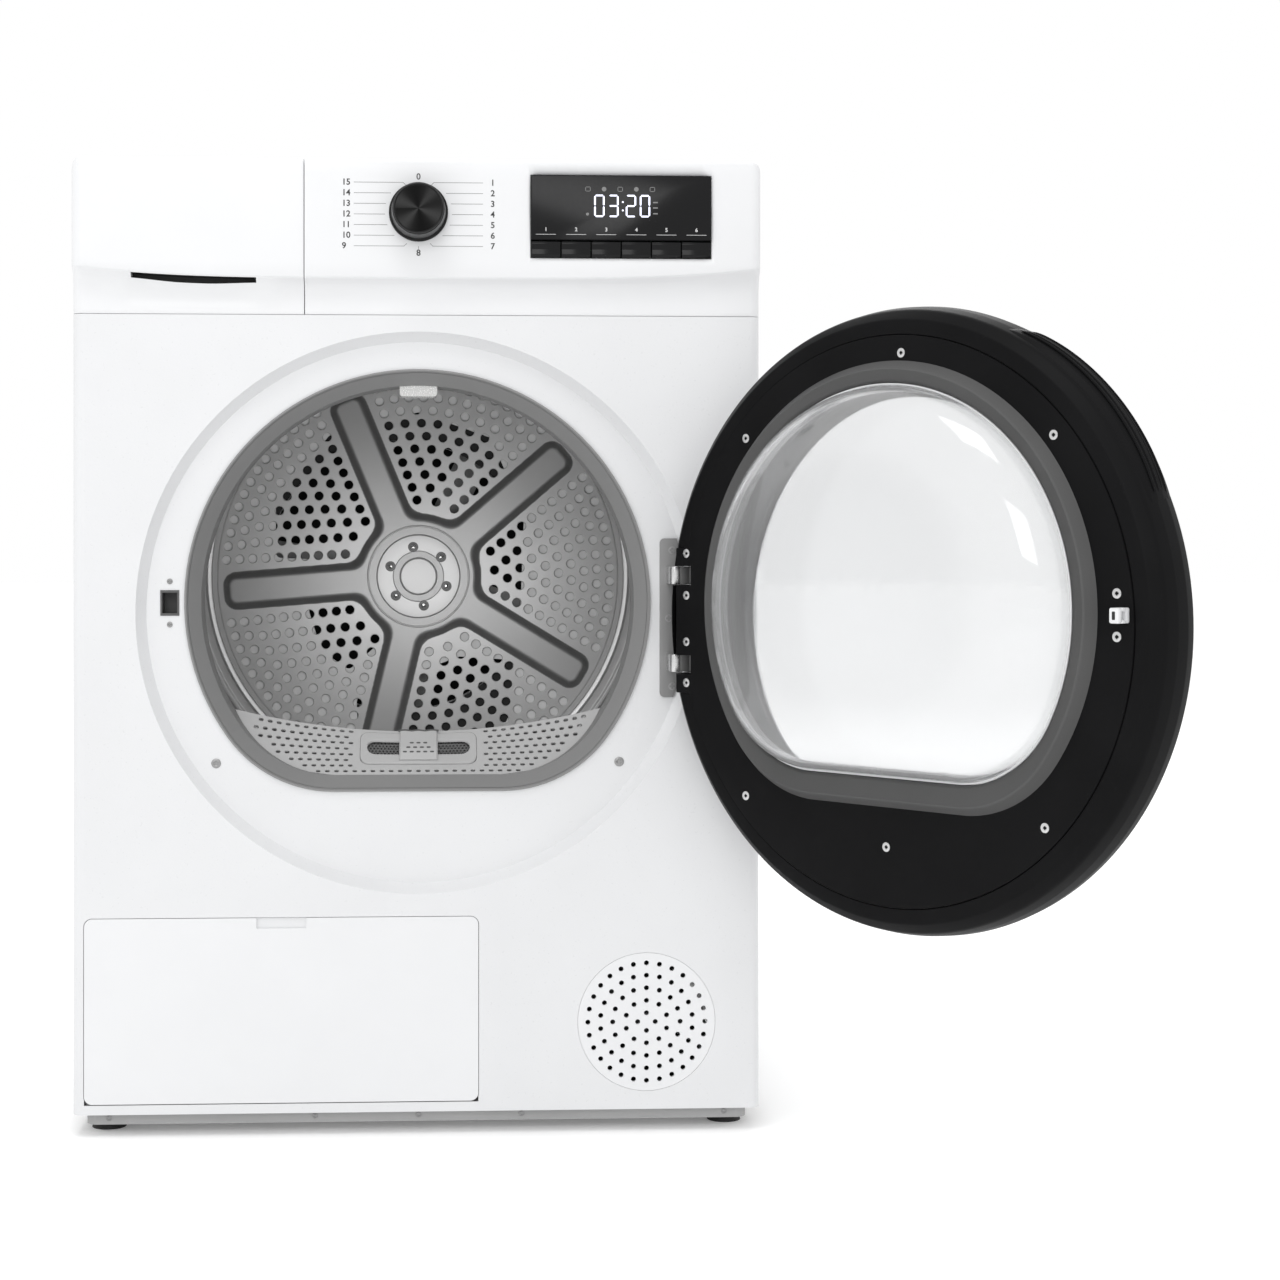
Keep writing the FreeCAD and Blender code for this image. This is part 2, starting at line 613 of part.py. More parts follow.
def motor_rotor():
    """Motor shaft with the belt pulley on its front end."""
    low, high = BELT_Y - 7, BELT_Y + 7
    return fuse([
        rod_y(DRIVE_X, DRIVE_Z, ROTOR_RADIUS, low - 3, 238),
        rod_y(DRIVE_X, DRIVE_Z, PULLEY_RADIUS, low, high),
        rod_y(DRIVE_X, DRIVE_Z, PULLEY_RADIUS + 4, low - 2, low),
        rod_y(DRIVE_X, DRIVE_Z, PULLEY_RADIUS + 4, high, high + 2)])


def idler_pulley():
    x, z = idler_centre()
    return ring_y(x, z, 4 + RUNNING_CLEARANCE, IDLER_RADIUS, BELT_Y - 7, BELT_Y + 7)


def process_fan():
    """Blower wheel that drives the warm air round."""
    pieces = [rod_y(DRIVE_X, DRIVE_Z, 14, 172, 232),
              rod_y(DRIVE_X, DRIVE_Z, FAN_RADIUS, 229, 232),
              ring_y(DRIVE_X, DRIVE_Z, 56, FAN_RADIUS, 174, 177)]
    for angle in evenly(FAN_BLADES):
        blade = box(DRIVE_X + 52, DRIVE_X + FAN_RADIUS, 175, 230, DRIVE_Z - 0.8, DRIVE_Z + 0.8)
        blade.rotate(Vector(DRIVE_X, 0, DRIVE_Z), Vector(0, 1, 0), angle)
        pieces.append(blade)
    return fuse(pieces).cut(rod_y(DRIVE_X, DRIVE_Z, ROTOR_RADIUS, 171, 233))


def fan_housing():
    """Round blower housing with the box duct that brings air from the heat exchangers."""
    outer = fuse([rod_y(DRIVE_X, DRIVE_Z, 92, 165, REAR_Y),
                  box(150, 220, 170, 256, BASE_FLOOR, 60),
                  box(40, 277, 122, 166, 40, 188)])
    inner = [rod_y(DRIVE_X, DRIVE_Z, 89.5, 167.5, REAR_Y + 1),
             box(39, 274.5, 124.5, 165, 42.5, 185.5),
             rod_y(DRIVE_X, DRIVE_Z, 52, 160, 170),
             rod_y(DRIVE_X, DRIVE_Z, 7, 120, 126)]
    return outer.cut(Part.makeCompound(inner))


def exchanger_housing():
    """Cover over the heat exchangers; two turn levers hold its front cover."""
    left, right, front, back, top = -250.0, 40.0, -270.0, 160.0, 158.0
    shell = box(left, right, front, back, BASE_FLOOR, top)
    shell = shell.cut(box(left + 3, right - 3, front + 3, back - 3, BASE_FLOOR - 1, top - 3))
    levers = []
    for x in (left + 30, right - 30):
        levers.append(rod_y(x, 100, 9, front - 4, front))
        levers.append(box(x - 5, x + 5, front - 7, front - 3, 84, 134))
    cuts = [box(-51, 51, -264, -246, top - 5, top + 1),
            box(right - 4, right + 1, 124.5, 155, 44, 150),
            rod_x(-150, 110, 4.4, right - 4, right + 1),
            rod_x(-50, 120, 4.4, right - 4, right + 1)]
    return fuse([shell] + levers).cut(Part.makeCompound(cuts))


def heat_exchangers():
    """Evaporator in front and condenser behind it: plate fins on rows of tubes."""
    blocks = []
    for y0, y1 in ((-235, -105), (-75, 85)):
        plates = [box(x, x + 0.8, y0, y1, 18, 148) for x in range(-240, 30, 15)]
        plates.append(box(28, 30, y0, y1, 18, 148))
        for row in range(3):
            for column in range(3):
                y = y0 + (y1 - y0) * (column + 0.5) / 3
                plates.append(rod_x(y, 40 + 40 * row, 5, -240, 30))
        blocks.append(fuse(plates))
    return Part.makeCompound(blocks)


def refrigerant_circuit():
    """Hermetic compressor with the two copper pipes brazed to it."""
    x, y = 190.0, -150.0
    can = rod_z(x, y, 55, 22, 190)
    can = cut_fillet(can, 18, lambda e: e.BoundBox.ZLength < 0.1)
    suction = rod_x(y, 110, 4, 30, x)
    discharge = bent_rod([(x, y, 180), (x, y, 206), (x, -50, 206), (x, -50, 120), (30, -50, 120)], 10, 4)
    return fuse([can, box(x - 60, x + 60, y - 50, y + 40, BASE_FLOOR, 23), suction, discharge])


def condensate_pump():
    return fuse([box(-282, -254, 160, 212, BASE_FLOOR, 58), rod_z(-268, 186, 11, 58, 82),
                 rod_y(-268, 66, 8, 186, 214)])


def drain_hose():
    """Hose that lifts the collected water from the pump to the tank's tray."""
    route = [(-268, 214, 66), (-268, 246, 66), (-268, 246, 752)]
    return bent_rod(route, 18, 6).cut(bent_rod(route, 18, 4))


# ================================================================ condensate tank
def fascia_face(wall, x):
    """Side profile of the fascia and of the tank front: flat above, hollow cove below."""
    front = FASCIA_Y + wall
    back = FASCIA_BACK_Y + (1 if wall else 0)
    low = PANEL_TOP + 0.4 + wall
    high = HEIGHT - wall
    crease = Vector(x, front, CREASE_Z + wall / 2)
    foot_point = Vector(x, FRONT_Y + wall, low)
    edges = [
        Part.makeLine(Vector(x, back, high), Vector(x, front, high)),
        Part.makeLine(Vector(x, front, high), crease),
        Part.Arc(crease, Vector(x, -302.0 + wall, CREASE_Z - 9 + wall / 2), foot_point).toShape(),
        Part.makeLine(foot_point, Vector(x, back, low)),
        Part.makeLine(Vector(x, back, low), Vector(x, back, high)),
    ]
    return Part.Face(Part.Wire(edges))


def fascia_shell(x0, x1):
    """Open-backed moulding between x0 and x1; its outer corners follow the cabinet's."""
    outer = fascia_face(0, x0).extrude(Vector(x1 - x0, 0, 0))
    plan = box(-HALF_WIDTH, HALF_WIDTH, FASCIA_Y, 0, PANEL_TOP, HEIGHT)
    plan = cut_fillet(plan, CORNER, lambda e: runs_along(e, "z") and e.BoundBox.YMax < FASCIA_Y + 1)
    outer = outer.common(plan)
    inset = FASCIA_WALL
    inner = fascia_face(inset, x0 + inset).extrude(Vector(x1 - x0 - 2 * inset, 0, 0))
    plan = box(-HALF_WIDTH + inset, HALF_WIDTH - inset, FASCIA_Y + inset, 1, PANEL_TOP, HEIGHT)
    plan = cut_fillet(plan, CORNER - inset, lambda e: runs_along(e, "z") and e.BoundBox.YMax < 0)
    return outer.cut(inner.common(plan))


def tank_front():
    """Drawer front with the finger recess of its handle."""
    shell = fascia_shell(-HALF_WIDTH, DRAWER_SPLIT_X - SPLIT_GAP)
    pocket = box(-248, -140, -303, -291, 722, 748)
    recess = box(-246, -142, FASCIA_Y - 1, -293, 724, 744)
    return fuse([shell, pocket]).cut(recess)


def tank_body():
    tank = box(-280.6, -106.4, -307, 245, 755.4, 820)
    tank = cut_fillet(tank, 8, lambda e: runs_along(e, "z") and e.BoundBox.YMin > 0)
    hollow = box(-278.6, -108.4, -305, 243, 757.4, 818)
    return tank.cut(hollow).cut(rod_z(-190, 222, 14, 815, 825))


def tank_tray():
    floor = box(-HALF_WIDTH + 1, -104, -280, 256, 752, 755)
    rims = [box(-283, -281, -280, 256, 755, 766), box(-106, -104, -280, 256, 755, 766),
            box(-281, -106, 254, 256, 755, 766)]
    return fuse([floor] + rims)


# ================================================================ controls
def control_fascia():
    shell = fascia_shell(DRAWER_SPLIT_X + SPLIT_GAP, HALF_WIDTH)
    gap = 0.2
    cuts = [box(DISPLAY_LEFT - gap, DISPLAY_RIGHT + gap, FASCIA_Y - 1, FASCIA_Y + 4,
                DISPLAY_BOTTOM - gap, DISPLAY_TOP + gap),
            rod_y(0, KNOB_Z, KNOB_SHAFT_RADIUS + 0.4, FASCIA_Y - 1, FASCIA_Y + 4)]
    return shell.cut(Part.makeCompound(cuts))


def display_window():
    pane = box(DISPLAY_LEFT, DISPLAY_RIGHT, DISPLAY_FRONT_Y, FASCIA_Y + FASCIA_WALL,
               BUTTON_TOP + 0.4, DISPLAY_TOP)
    return cut_fillet(pane, 3, lambda e: runs_along(e, "y") and e.BoundBox.ZMin > BUTTON_TOP + 5)


def button(number):
    pitch = (DISPLAY_RIGHT - DISPLAY_LEFT) / BUTTON_COUNT
    x0 = DISPLAY_LEFT + pitch * (number - 1)
    cap = box(x0 + 0.3, x0 + pitch - 0.3, DISPLAY_FRONT_Y + 0.5, -303, DISPLAY_BOTTOM + 0.2, BUTTON_TOP)
    stem = rod_y(x0 + pitch / 2, DISPLAY_BOTTOM + 7.5, 2, -303, -299.5)
    return fuse([cap, stem])


def control_board():
    """Circuit board with its posts, the knob's encoder and one switch behind each button."""
    left, right, low, high = -30.0, 270.0, 740.0, 834.0
    front = -295.6
    board = box(left, right, front, front + 1.6, low, high)
    posts = [rod_y(x, z, 3, FASCIA_Y + FASCIA_WALL, front)
             for x in (left + 8, right - 6) for z in (low + 10, high - 6)]
    encoder = box(-9, 9, -304, front, KNOB_Z - 9, KNOB_Z + 9)
    pitch = (DISPLAY_RIGHT - DISPLAY_LEFT) / BUTTON_COUNT
    switches = [rod_y(DISPLAY_LEFT + pitch * (i + 0.5), DISPLAY_BOTTOM + 7.5, 3, -297.6, front)
                for i in range(BUTTON_COUNT)]
    lamp_panel = box(DISPLAY_LEFT + 10, DISPLAY_RIGHT - 10, -300, front, 785, 826)
    board = fuse([board, encoder, lamp_panel] + posts + switches)
    return board.cut(rod_y(0, KNOB_Z, KNOB_SHAFT_RADIUS + RUNNING_CLEARANCE, -305, -290))


def program_knob():
    rim = rod_y(0, KNOB_Z, KNOB_BASE_RADIUS, FASCIA_Y - 3.2, FASCIA_Y - 0.4)
    grip = rod_y(0, KNOB_Z, KNOB_RADIUS, KNOB_FRONT_Y, FASCIA_Y - 3)
    grip = cut_fillet(grip, 1.5, lambda e: e.BoundBox.YMax < KNOB_FRONT_Y + 0.1)
    return fuse([rim, grip, rod_y(0, KNOB_Z, KNOB_SHAFT_RADIUS, FASCIA_Y - 1, -298)])


# ================================================================ flap and cooling grille
def service_flap():
    plate = flap_block(0, FRONT_Y, FRONT_Y + 3)
    hooks = [box(x, x + 10, FRONT_Y + 3, -290.5, 30, 34) for x in (-250, 5)]
    notch = box(-140, -97, FRONT_Y - 1, FRONT_Y + 2, FLAP_TOP - 9, FLAP_TOP + 1)
    return fuse([plate] + hooks).cut(notch)


def ventilation_grille():
    """Perforated insert with the three-legged carrier of the cooling fan behind it."""
    seat = FRONT_Y + SHEET
    disc = rod_y(GRILLE_X, GRILLE_Z, GRILLE_RADIUS, FRONT_Y, seat + 2)
    flange = ring_y(GRILLE_X, GRILLE_Z, GRILLE_RADIUS - 4, GRILLE_RADIUS + 5, seat, seat + 2)
    pieces = [disc, flange, rod_y(GRILLE_X, GRILLE_Z, 15, -262, -238),
              rod_y(GRILLE_X, GRILLE_Z, 4, -284, -262)]
    for angle in evenly(3, 90):
        x, z = polar(GRILLE_RADIUS + 1, angle)
        pieces.append(rod_y(GRILLE_X + x, GRILLE_Z + z, 3, seat, -238))
        arm = box(GRILLE_X, GRILLE_X + GRILLE_RADIUS + 2, -242, -238, GRILLE_Z - 3, GRILLE_Z + 3)
        arm.rotate(Vector(GRILLE_X, 0, GRILLE_Z), Vector(0, 1, 0), -angle)
        pieces.append(arm)
    holes = []
    for radius, count in GRILLE_RINGS:
        for angle in evenly(count, 90):
            x, z = polar(radius, angle)
            holes.append(rod_y(GRILLE_X + x, GRILLE_Z + z, GRILLE_HOLE_RADIUS, FRONT_Y - 1, seat + 3))
    return fuse(pieces).cut(Part.makeCompound(holes))


def cooling_fan():
    """Small axial fan that cools the compressor."""
    hub = rod_y(GRILLE_X, GRILLE_Z, 14, -280, -266)
    pieces = [hub]
    for angle in evenly(7):
        blade = box(GRILLE_X + 10, GRILLE_X + 52, -273.8, -272.2, GRILLE_Z - 9, GRILLE_Z + 9)
        blade.rotate(Vector(GRILLE_X, -273, GRILLE_Z), Vector(1, 0, 0), 32)
        blade.rotate(Vector(GRILLE_X, 0, GRILLE_Z), Vector(0, 1, 0), angle)
        pieces.append(blade)
    return fuse(pieces).cut(rod_y(GRILLE_X, GRILLE_Z, 4 + RUNNING_CLEARANCE, -290, -260))


# ================================================================ door, drawn closed
def hinge_lobe():
    """Block on the hinge side of the door that holds the pins."""
    low, high = HINGE_ARMS_Z[0] - 24, HINGE_ARMS_Z[1] + 24
    step = -301.0
    shallow = box(205, HINGE_X, step, COVER_Y, low, high)
    return fuse([box(205, HINGE_X, HINGE_Y - 9, step, low, high),
                 shallow.common(rod_y(0, DOOR_Z, 231, step, COVER_Y)),
                 rod_z(HINGE_X, HINGE_Y, 10, low, high)])


def arm_pockets():
    """Room in the door for the fixed hinge arms over the whole swing."""
    pockets = []
    for z in HINGE_ARMS_Z:
        low, high = z - HINGE_ARM_HEIGHT / 2 - 0.8, z + HINGE_ARM_HEIGHT / 2 + 0.8
        keep = box(-11, 60, -60, 60, low, high)
        keep.rotate(Vector(0, 0, 0), Vector(0, 0, 1), 47)
        keep.translate(Vector(HINGE_X, HINGE_Y, 0))
        pockets.append(rod_z(HINGE_X, HINGE_Y, 22, low, high))
        pockets.append(rod_z(HINGE_X, HINGE_Y, 38, low, high).common(keep))
    return fuse(pockets[:2]).fuse(fuse(pockets[2:]))


def door_ring():
    """Outer ring of the door, a hollow moulding with the pull grip on the latch side."""
    outline = [(223.4, -294), (236, -296), (243, -303), (246, -314), (DOOR_RADIUS, -325),
               (245.5, -334), (240, -340), (228, -345), (WINDOW_RADIUS, -347)]
    inside = [(WINDOW_RADIUS, -344), (227, -342), (237.5, -337.5), (242.5, -332), (244, -325),
              (243, -314.5), (240.5, -304.5), (234.5, -299), (223.4, -297)]
    ring = revolve_y(0, DOOR_Z, outline + inside)
    grip = revolve_y(0, DOOR_Z, [(243, -306), (249, -312), (251, -322), (249, -332), (244, -336)])
    wedge = [Vector(0, -400, DOOR_Z)]
    for angle in (114, 160):
        x, z = polar(400, angle)
        wedge.append(Vector(x, -400, DOOR_Z + z))
    sector = Part.Face(Part.makePolygon(wedge + wedge[:1])).extrude(Vector(0, 200, 0))
    grip = grip.common(sector)
    keep_out = rod_y(0, DOOR_Z, 242, -400, -200)
    ring = fuse([ring, grip.cut(keep_out)])
    return ring.cut(hinge_lobe()).cut(arm_pockets())


def door_screw_places():
    """(x, z) of the screws in the door's inner cover."""
    places = []
    for angle in (45, 94, 138, 225, 315):
        x, z = polar(209, angle)
        places.append((x, DOOR_Z + z))
    places.append((0.0, DOOR_Z - 176))
    places += [(216.0, z) for z in (394.7, 429.5, 468.9, 504.5)]
    places += [(-209.0, LATCH_Z - 15.5), (-209.0, LATCH_Z + 15.5)]
    return places


def door_inner_cover():
    plate = rod_y(0, DOOR_Z, COVER_RADIUS, COVER_Y - COVER_THICKNESS, COVER_Y)
    cover = fuse([plate, hinge_lobe()])
    cuts = [bowl_prism(-2, COVER_Y - 4, COVER_Y + 1)]
    cuts += [rod_y(x, z, 4.1, COVER_Y - 2, COVER_Y + 1) for x, z in door_screw_places()]
    cuts.append(rod_z(HINGE_X, HINGE_Y, PIN_RADIUS, 300, 600))
    return cover.cut(Part.makeCompound(cuts)).cut(arm_pockets())


def door_screws():
    return Part.makeCompound([rod_y(x, z, 4, COVER_Y - 2, COVER_Y - 0.3) for x, z in door_screw_places()])


def door_bowl():
    """Clear bowl that reaches into the opening, with its clamping flange."""
    back = COVER_Y - COVER_THICKNESS
    levels = ((0, 0, 0, back), (4, 18, 6, -262), (24, 38, 14, -232))

    def bowl(inset, start, end):
        wires = []
        for narrow, lift, tighten, y in levels:
            y = min(max(y, start), end)
            wires.append(mouth_wire(inset, y, BOWL_RADIUS - narrow, BOWL_DROP - lift,
                                    BOWL_CORNER - tighten))
        return Part.makeLoft(wires, True, True)

    outside = bowl(0, back, -232)
    inside = bowl(BOWL_WALL, back - 4, -232 - BOWL_WALL)
    inside = fuse([inside, bowl_prism(BOWL_WALL, back - 4, back + 0.01)])
    flange = bowl_prism(-12, back - 3, back)
    return fuse([outside, flange]).cut(inside)


def door_window():
    """Slightly domed outer pane with a thin clamping rim."""
    rim = WINDOW_RADIUS - 0.5
    rise = 4.5
    curve = (rim ** 2 + rise ** 2) / (2 * rise)
    front = -350.0
    front_ball = Part.makeSphere(curve, Vector(0, front + curve, DOOR_Z))
    back_ball = Part.makeSphere(curve, Vector(0, front + 4 + curve, DOOR_Z))
    pane = rod_y(0, DOOR_Z, rim, front - 1, -341.5).common(front_ball).cut(back_ball)
    return fuse([pane, ring_y(0, DOOR_Z, rim - 2, rim + 6, -343.6, -341.6)])


def door_seal():
    """Soft D-shaped frame round the bowl that closes against the bezel."""
    outer = Part.makeLoft([mouth_wire(-3, COVER_Y), mouth_wire(4, COVER_Y + 9)], True, True)
    return outer.cut(bowl_prism(-1.5, COVER_Y - 1, COVER_Y + 10))


def door_striker():
    tongue = box(LATCH_X - 4, LATCH_X + 4, COVER_Y, -279, LATCH_Z - 5.6, LATCH_Z + 5.6)
    return tongue.cut(box(LATCH_X - 5, LATCH_X + 5, -289, -284, LATCH_Z - 3, LATCH_Z + 3))


def hinge_pins():
    return Part.makeCompound([rod_z(HINGE_X, HINGE_Y, PIN_RADIUS, z - 20, z + 20) for z in HINGE_ARMS_Z])


def opened(shape):
    """Turn a door part from its closed place to the open place it has at rest."""
    shape = shape.copy()
    shape.rotate(Vector(HINGE_X, HINGE_Y, 0), Vector(0, 0, 1), DOOR_OPEN_DEG)
    return shape


# ================================================================ fasteners
def cabinet_screws():
    heads = [rod_y(side * 175.5, 322, 4, RECESS_Y - 1.2, RECESS_Y) for side in (-1, 1)]
    heads += [rod_y(LATCH_X, z, 2.5, RECESS_Y - 1, RECESS_Y) for z in (442.7, 480.1)]
    heads += [rod_y(x, z, 4, RECESS_Y - 2.3, RECESS_Y - 0.9) for x, z in hinge_screw_places()]
    heads += [rod_y(x, PANEL_BOTTOM - 5.5, 3.5, BASE_FRONT_Y - 1.2, BASE_FRONT_Y) for x in (-268, 0, 268)]
    back = REAR_Y + SHEET
    heads += [rod_y(side * 285, z, 4, back, back + 2)
              for side in (-1, 1) for z in (60, 210, 360, 510, 660, 800)]
    heads += [rod_y(side * 250, 834, 4, WORKTOP_REAR_Y, WORKTOP_REAR_Y + 2) for side in (-1, 1)]
    return Part.makeCompound(heads)


# ================================================================ the whole machine
NODES = {
    "base_tray": base_tray,
    "front_panel": front_panel,
    "rear_panel": rear_panel,
    "rear_duct_cover": rear_duct_cover,
    "worktop": worktop,
    "cable_gland": cable_gland,
    "front_bulkhead": front_bulkhead,
    "outlet_grille": outlet_grille,
    "lint_filter": lint_filter,
    "drum_lamp": drum_lamp,
    "latch_socket": latch_socket,
    "hinge_bracket": hinge_bracket,
    "drum_shell": drum_shell,
    "drum_rear_wall": drum_rear_wall,
    "drum_lifters": drum_lifters,
    "drum_shaft": drum_shaft,
    "rear_bearing": rear_bearing,
    "drum_seals": drum_seals,
    "drive_belt": drive_belt,
    "motor": motor,
    "motor_rotor": motor_rotor,
    "idler_pulley": idler_pulley,
    "process_fan": process_fan,
    "fan_housing": fan_housing,
    "exchanger_housing": exchanger_housing,
    "heat_exchangers": heat_exchangers,
    "refrigerant_circuit": refrigerant_circuit,
    "condensate_pump": condensate_pump,
    "drain_hose": drain_hose,
    "tank_front": tank_front,
    "tank_body": tank_body,
    "tank_tray": tank_tray,
    "control_fascia": control_fascia,
    "display_window": display_window,
    "control_board": control_board,
    "program_knob": program_knob,
    "service_flap": service_flap,
    "ventilation_grille": ventilation_grille,
    "cooling_fan": cooling_fan,
    "cabinet_screws": cabinet_screws,
}
DOOR_NODES = {
    "door_ring": door_ring,
    "door_inner_cover": door_inner_cover,
    "door_bowl": door_bowl,
    "door_window": door_window,
    "door_seal": door_seal,
    "door_striker": door_striker,
    "door_screws": door_screws,
    "hinge_pins": hinge_pins,
}


def all_shapes():
    shapes = {name: make() for name, make in NODES.items()}
    for name, make in DOOR_NODES.items():
        shapes[name] = opened(make())
    for side, word in ((-1, "left"), (1, "right")):
        shapes["side_panel_" + word] = side_panel(side)
        for end in FOOT_Y:
            shapes["foot_" + end + "_" + word] = foot(side, end)
    for number in range(1, BUTTON_COUNT + 1):
        shapes["button_" + str(number)] = button(number)
    return shapes


os.makedirs("parts", exist_ok=True)
for node, shape in all_shapes().items():
    shape.exportStep("parts/" + node + ".step")
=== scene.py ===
"""Looks of the heat pump clothes dryer, built round its CAD frame.

Pieces are laid out in millimetres in the frame's own axes (X right, Y into the machine, Z up)
and turned into metres when a mesh is made.  Door pieces are laid out closed and then turned
with the door's own hinge to the place where the frame has them.
"""
import bpy
import bmesh
import json
import math
from mathutils import Matrix, Vector


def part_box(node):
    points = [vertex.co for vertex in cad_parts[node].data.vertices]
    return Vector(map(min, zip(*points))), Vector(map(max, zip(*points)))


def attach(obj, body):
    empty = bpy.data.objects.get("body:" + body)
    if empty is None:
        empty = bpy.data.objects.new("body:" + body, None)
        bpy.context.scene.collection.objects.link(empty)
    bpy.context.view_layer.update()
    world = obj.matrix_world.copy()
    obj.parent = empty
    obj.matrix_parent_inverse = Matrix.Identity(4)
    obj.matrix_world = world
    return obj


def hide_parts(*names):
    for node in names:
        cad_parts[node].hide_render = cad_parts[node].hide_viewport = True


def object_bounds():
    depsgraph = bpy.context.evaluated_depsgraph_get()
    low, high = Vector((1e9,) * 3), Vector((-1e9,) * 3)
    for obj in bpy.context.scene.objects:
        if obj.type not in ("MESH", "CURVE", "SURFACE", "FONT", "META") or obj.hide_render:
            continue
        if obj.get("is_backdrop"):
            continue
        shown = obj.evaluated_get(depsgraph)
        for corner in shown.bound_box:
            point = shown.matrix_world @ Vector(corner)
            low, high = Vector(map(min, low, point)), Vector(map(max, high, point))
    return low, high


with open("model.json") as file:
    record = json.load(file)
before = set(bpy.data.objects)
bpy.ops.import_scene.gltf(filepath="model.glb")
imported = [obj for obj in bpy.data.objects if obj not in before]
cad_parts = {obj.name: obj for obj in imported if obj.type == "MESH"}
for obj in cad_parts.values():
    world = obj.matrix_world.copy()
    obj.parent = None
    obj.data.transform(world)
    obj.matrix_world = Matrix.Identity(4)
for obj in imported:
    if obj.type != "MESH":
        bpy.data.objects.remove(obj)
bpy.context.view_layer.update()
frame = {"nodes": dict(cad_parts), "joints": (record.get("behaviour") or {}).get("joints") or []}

MM = 0.001
TAU = 2 * math.pi


def node_box(node):
    """Lowest and highest corner of a CAD node at rest, in millimetres."""
    low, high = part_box(node)
    return low / MM, high / MM


# ------------------------------------------------------------------ places taken from the frame
joints = {joint["name"]: joint for joint in frame["joints"]}
swing = joints["door_swing"]
HINGE = Vector(swing["pos_m"]) / MM
DOOR_TURN = (Matrix.Translation(HINGE)
             @ Matrix.Rotation(math.radians(-swing["range_deg"][0]), 4, "Z")
             @ Matrix.Translation(-HINGE))

fascia_low, fascia_high = node_box("control_fascia")
tank_low, tank_high = node_box("tank_front")
pane_low, pane_high = node_box("display_window")
knob_low, knob_high = node_box("program_knob")
wall_low, wall_high = node_box("drum_rear_wall")
latch_low, latch_high = node_box("latch_socket")
button_low, button_high = node_box("button_1")
hinge_low, hinge_high = node_box("hinge_bracket")

FRONT_Y = node_box("service_flap")[0].y                    # face of the painted front panel
FASCIA_Y = fascia_low.y
FASCIA_BACK_Y = fascia_high.y
FASCIA_LOW = fascia_low.z
FASCIA_TOP = fascia_high.z
HALF_WIDTH = fascia_high.x
RECESS_Y = FRONT_Y + 10.0
RECESS_Z = 453.0
MOUTH_Z = 462.0                         # centre of the D-shaped opening
MOUTH = (190.0, 152.0, 100.0)           # its radius, drop to the flat bottom and lower corner radius
BOWL = (174.0, 130.0, 92.0)
DOOR_Z = 452.0
DOOR_RADIUS = 247.0
COVER_Y = RECESS_Y - 3.0                # inner face of the closed door
COVER_RADIUS = 223.0
WINDOW_RADIUS = 184.0
KNOB_Z = (knob_low.z + knob_high.z) / 2
KNOB_BASE_RADIUS = knob_high.x
KNOB_RADIUS = KNOB_BASE_RADIUS - 3.1
LATCH_X = (latch_low.x + latch_high.x) / 2
LATCH_Z = (latch_low.z + latch_high.z) / 2
DRUM_Z = (wall_low.z + wall_high.z) / 2
DRUM_BACK_Y = wall_high.y
DRUM_INNER_RADIUS = wall_high.x

SPOKE_START = math.radians(40.6)
SPOKES = 5


# ------------------------------------------------------------------ outlines
def polar(radius, angle):
    return radius * math.cos(angle), radius * math.sin(angle)


def rounded(points, radius, closed=True, steps=4):
    """Polyline with its corners turned into arcs; a third value at a corner is its own radius."""
    result = []
    count = len(points)
    for i, point in enumerate(points):
        here = Vector(point[:2])
        wanted = point[2] if len(point) > 2 else radius
        if wanted <= 0 or (not closed and i in (0, count - 1)):
            result.append(tuple(here))
            continue
        back = Vector(points[i - 1][:2]) - here
        ahead = Vector(points[(i + 1) % count][:2]) - here
        room = 0.49 * min(back.length, ahead.length)
        back.normalize()
        ahead.normalize()
        half = back.angle(ahead) / 2
        if half > math.radians(88):
            result.append(tuple(here))
            continue
        reach = min(wanted / math.tan(half), room)
        size = reach * math.tan(half)
        centre = here + (back + ahead).normalized() * size / math.sin(half)
        first = here + back * reach - centre
        last = here + ahead * reach - centre
        sweep = first.angle(last)
        for k in range(steps + 1):
            t = k / steps
            arm = (first * math.sin((1 - t) * sweep) + last * math.sin(t * sweep)) / math.sin(sweep)
            result.append(tuple(centre + arm))
    return result


def rounded_box(x0, x1, z0, z1, radius):
    return rounded([(x0, z0), (x1, z0), (x1, z1), (x0, z1)], radius)


def circle(radius, steps=48, x=0.0, z=0.0):
    return [(x + radius * math.cos(TAU * k / steps), z + radius * math.sin(TAU * k / steps))
            for k in range(steps)]


def d_outline(radius, drop, corner, inset=0.0):
    """Outline, round above and flat below, about its centre; inset moves it inwards."""
    radius, drop, corner = radius - inset, drop - inset, corner - inset
    side = math.sqrt((radius - corner) ** 2 - (drop - corner) ** 2)
    turn = math.atan2(corner - drop, side)

    def arc(x, z, size, start, end, steps):
        for k in range(steps):
            angle = start + (end - start) * k / steps
            yield x + size * math.cos(angle), z + size * math.sin(angle)

    points = list(arc(0, 0, radius, turn, math.pi - turn, 120))
    points += arc(-side, corner - drop, corner, math.pi - turn, 1.5 * math.pi, 28)
    points += [(-side + 2 * side * k / 14, -drop) for k in range(14)]
    points += arc(side, corner - drop, corner, -0.5 * math.pi, turn, 28)
    return points


# ------------------------------------------------------------------ meshes
def linked(name, data):
    """New object in the scene."""
    made = bpy.data.objects.new(name, data)
    bpy.context.scene.collection.objects.link(made)
    return made


def evaluated_mesh(holder):
    """Mesh of an object with its modifiers or its curve's thickness applied."""
    bpy.context.view_layer.update()
    return bpy.data.meshes.new_from_object(holder.evaluated_get(bpy.context.evaluated_depsgraph_get()))


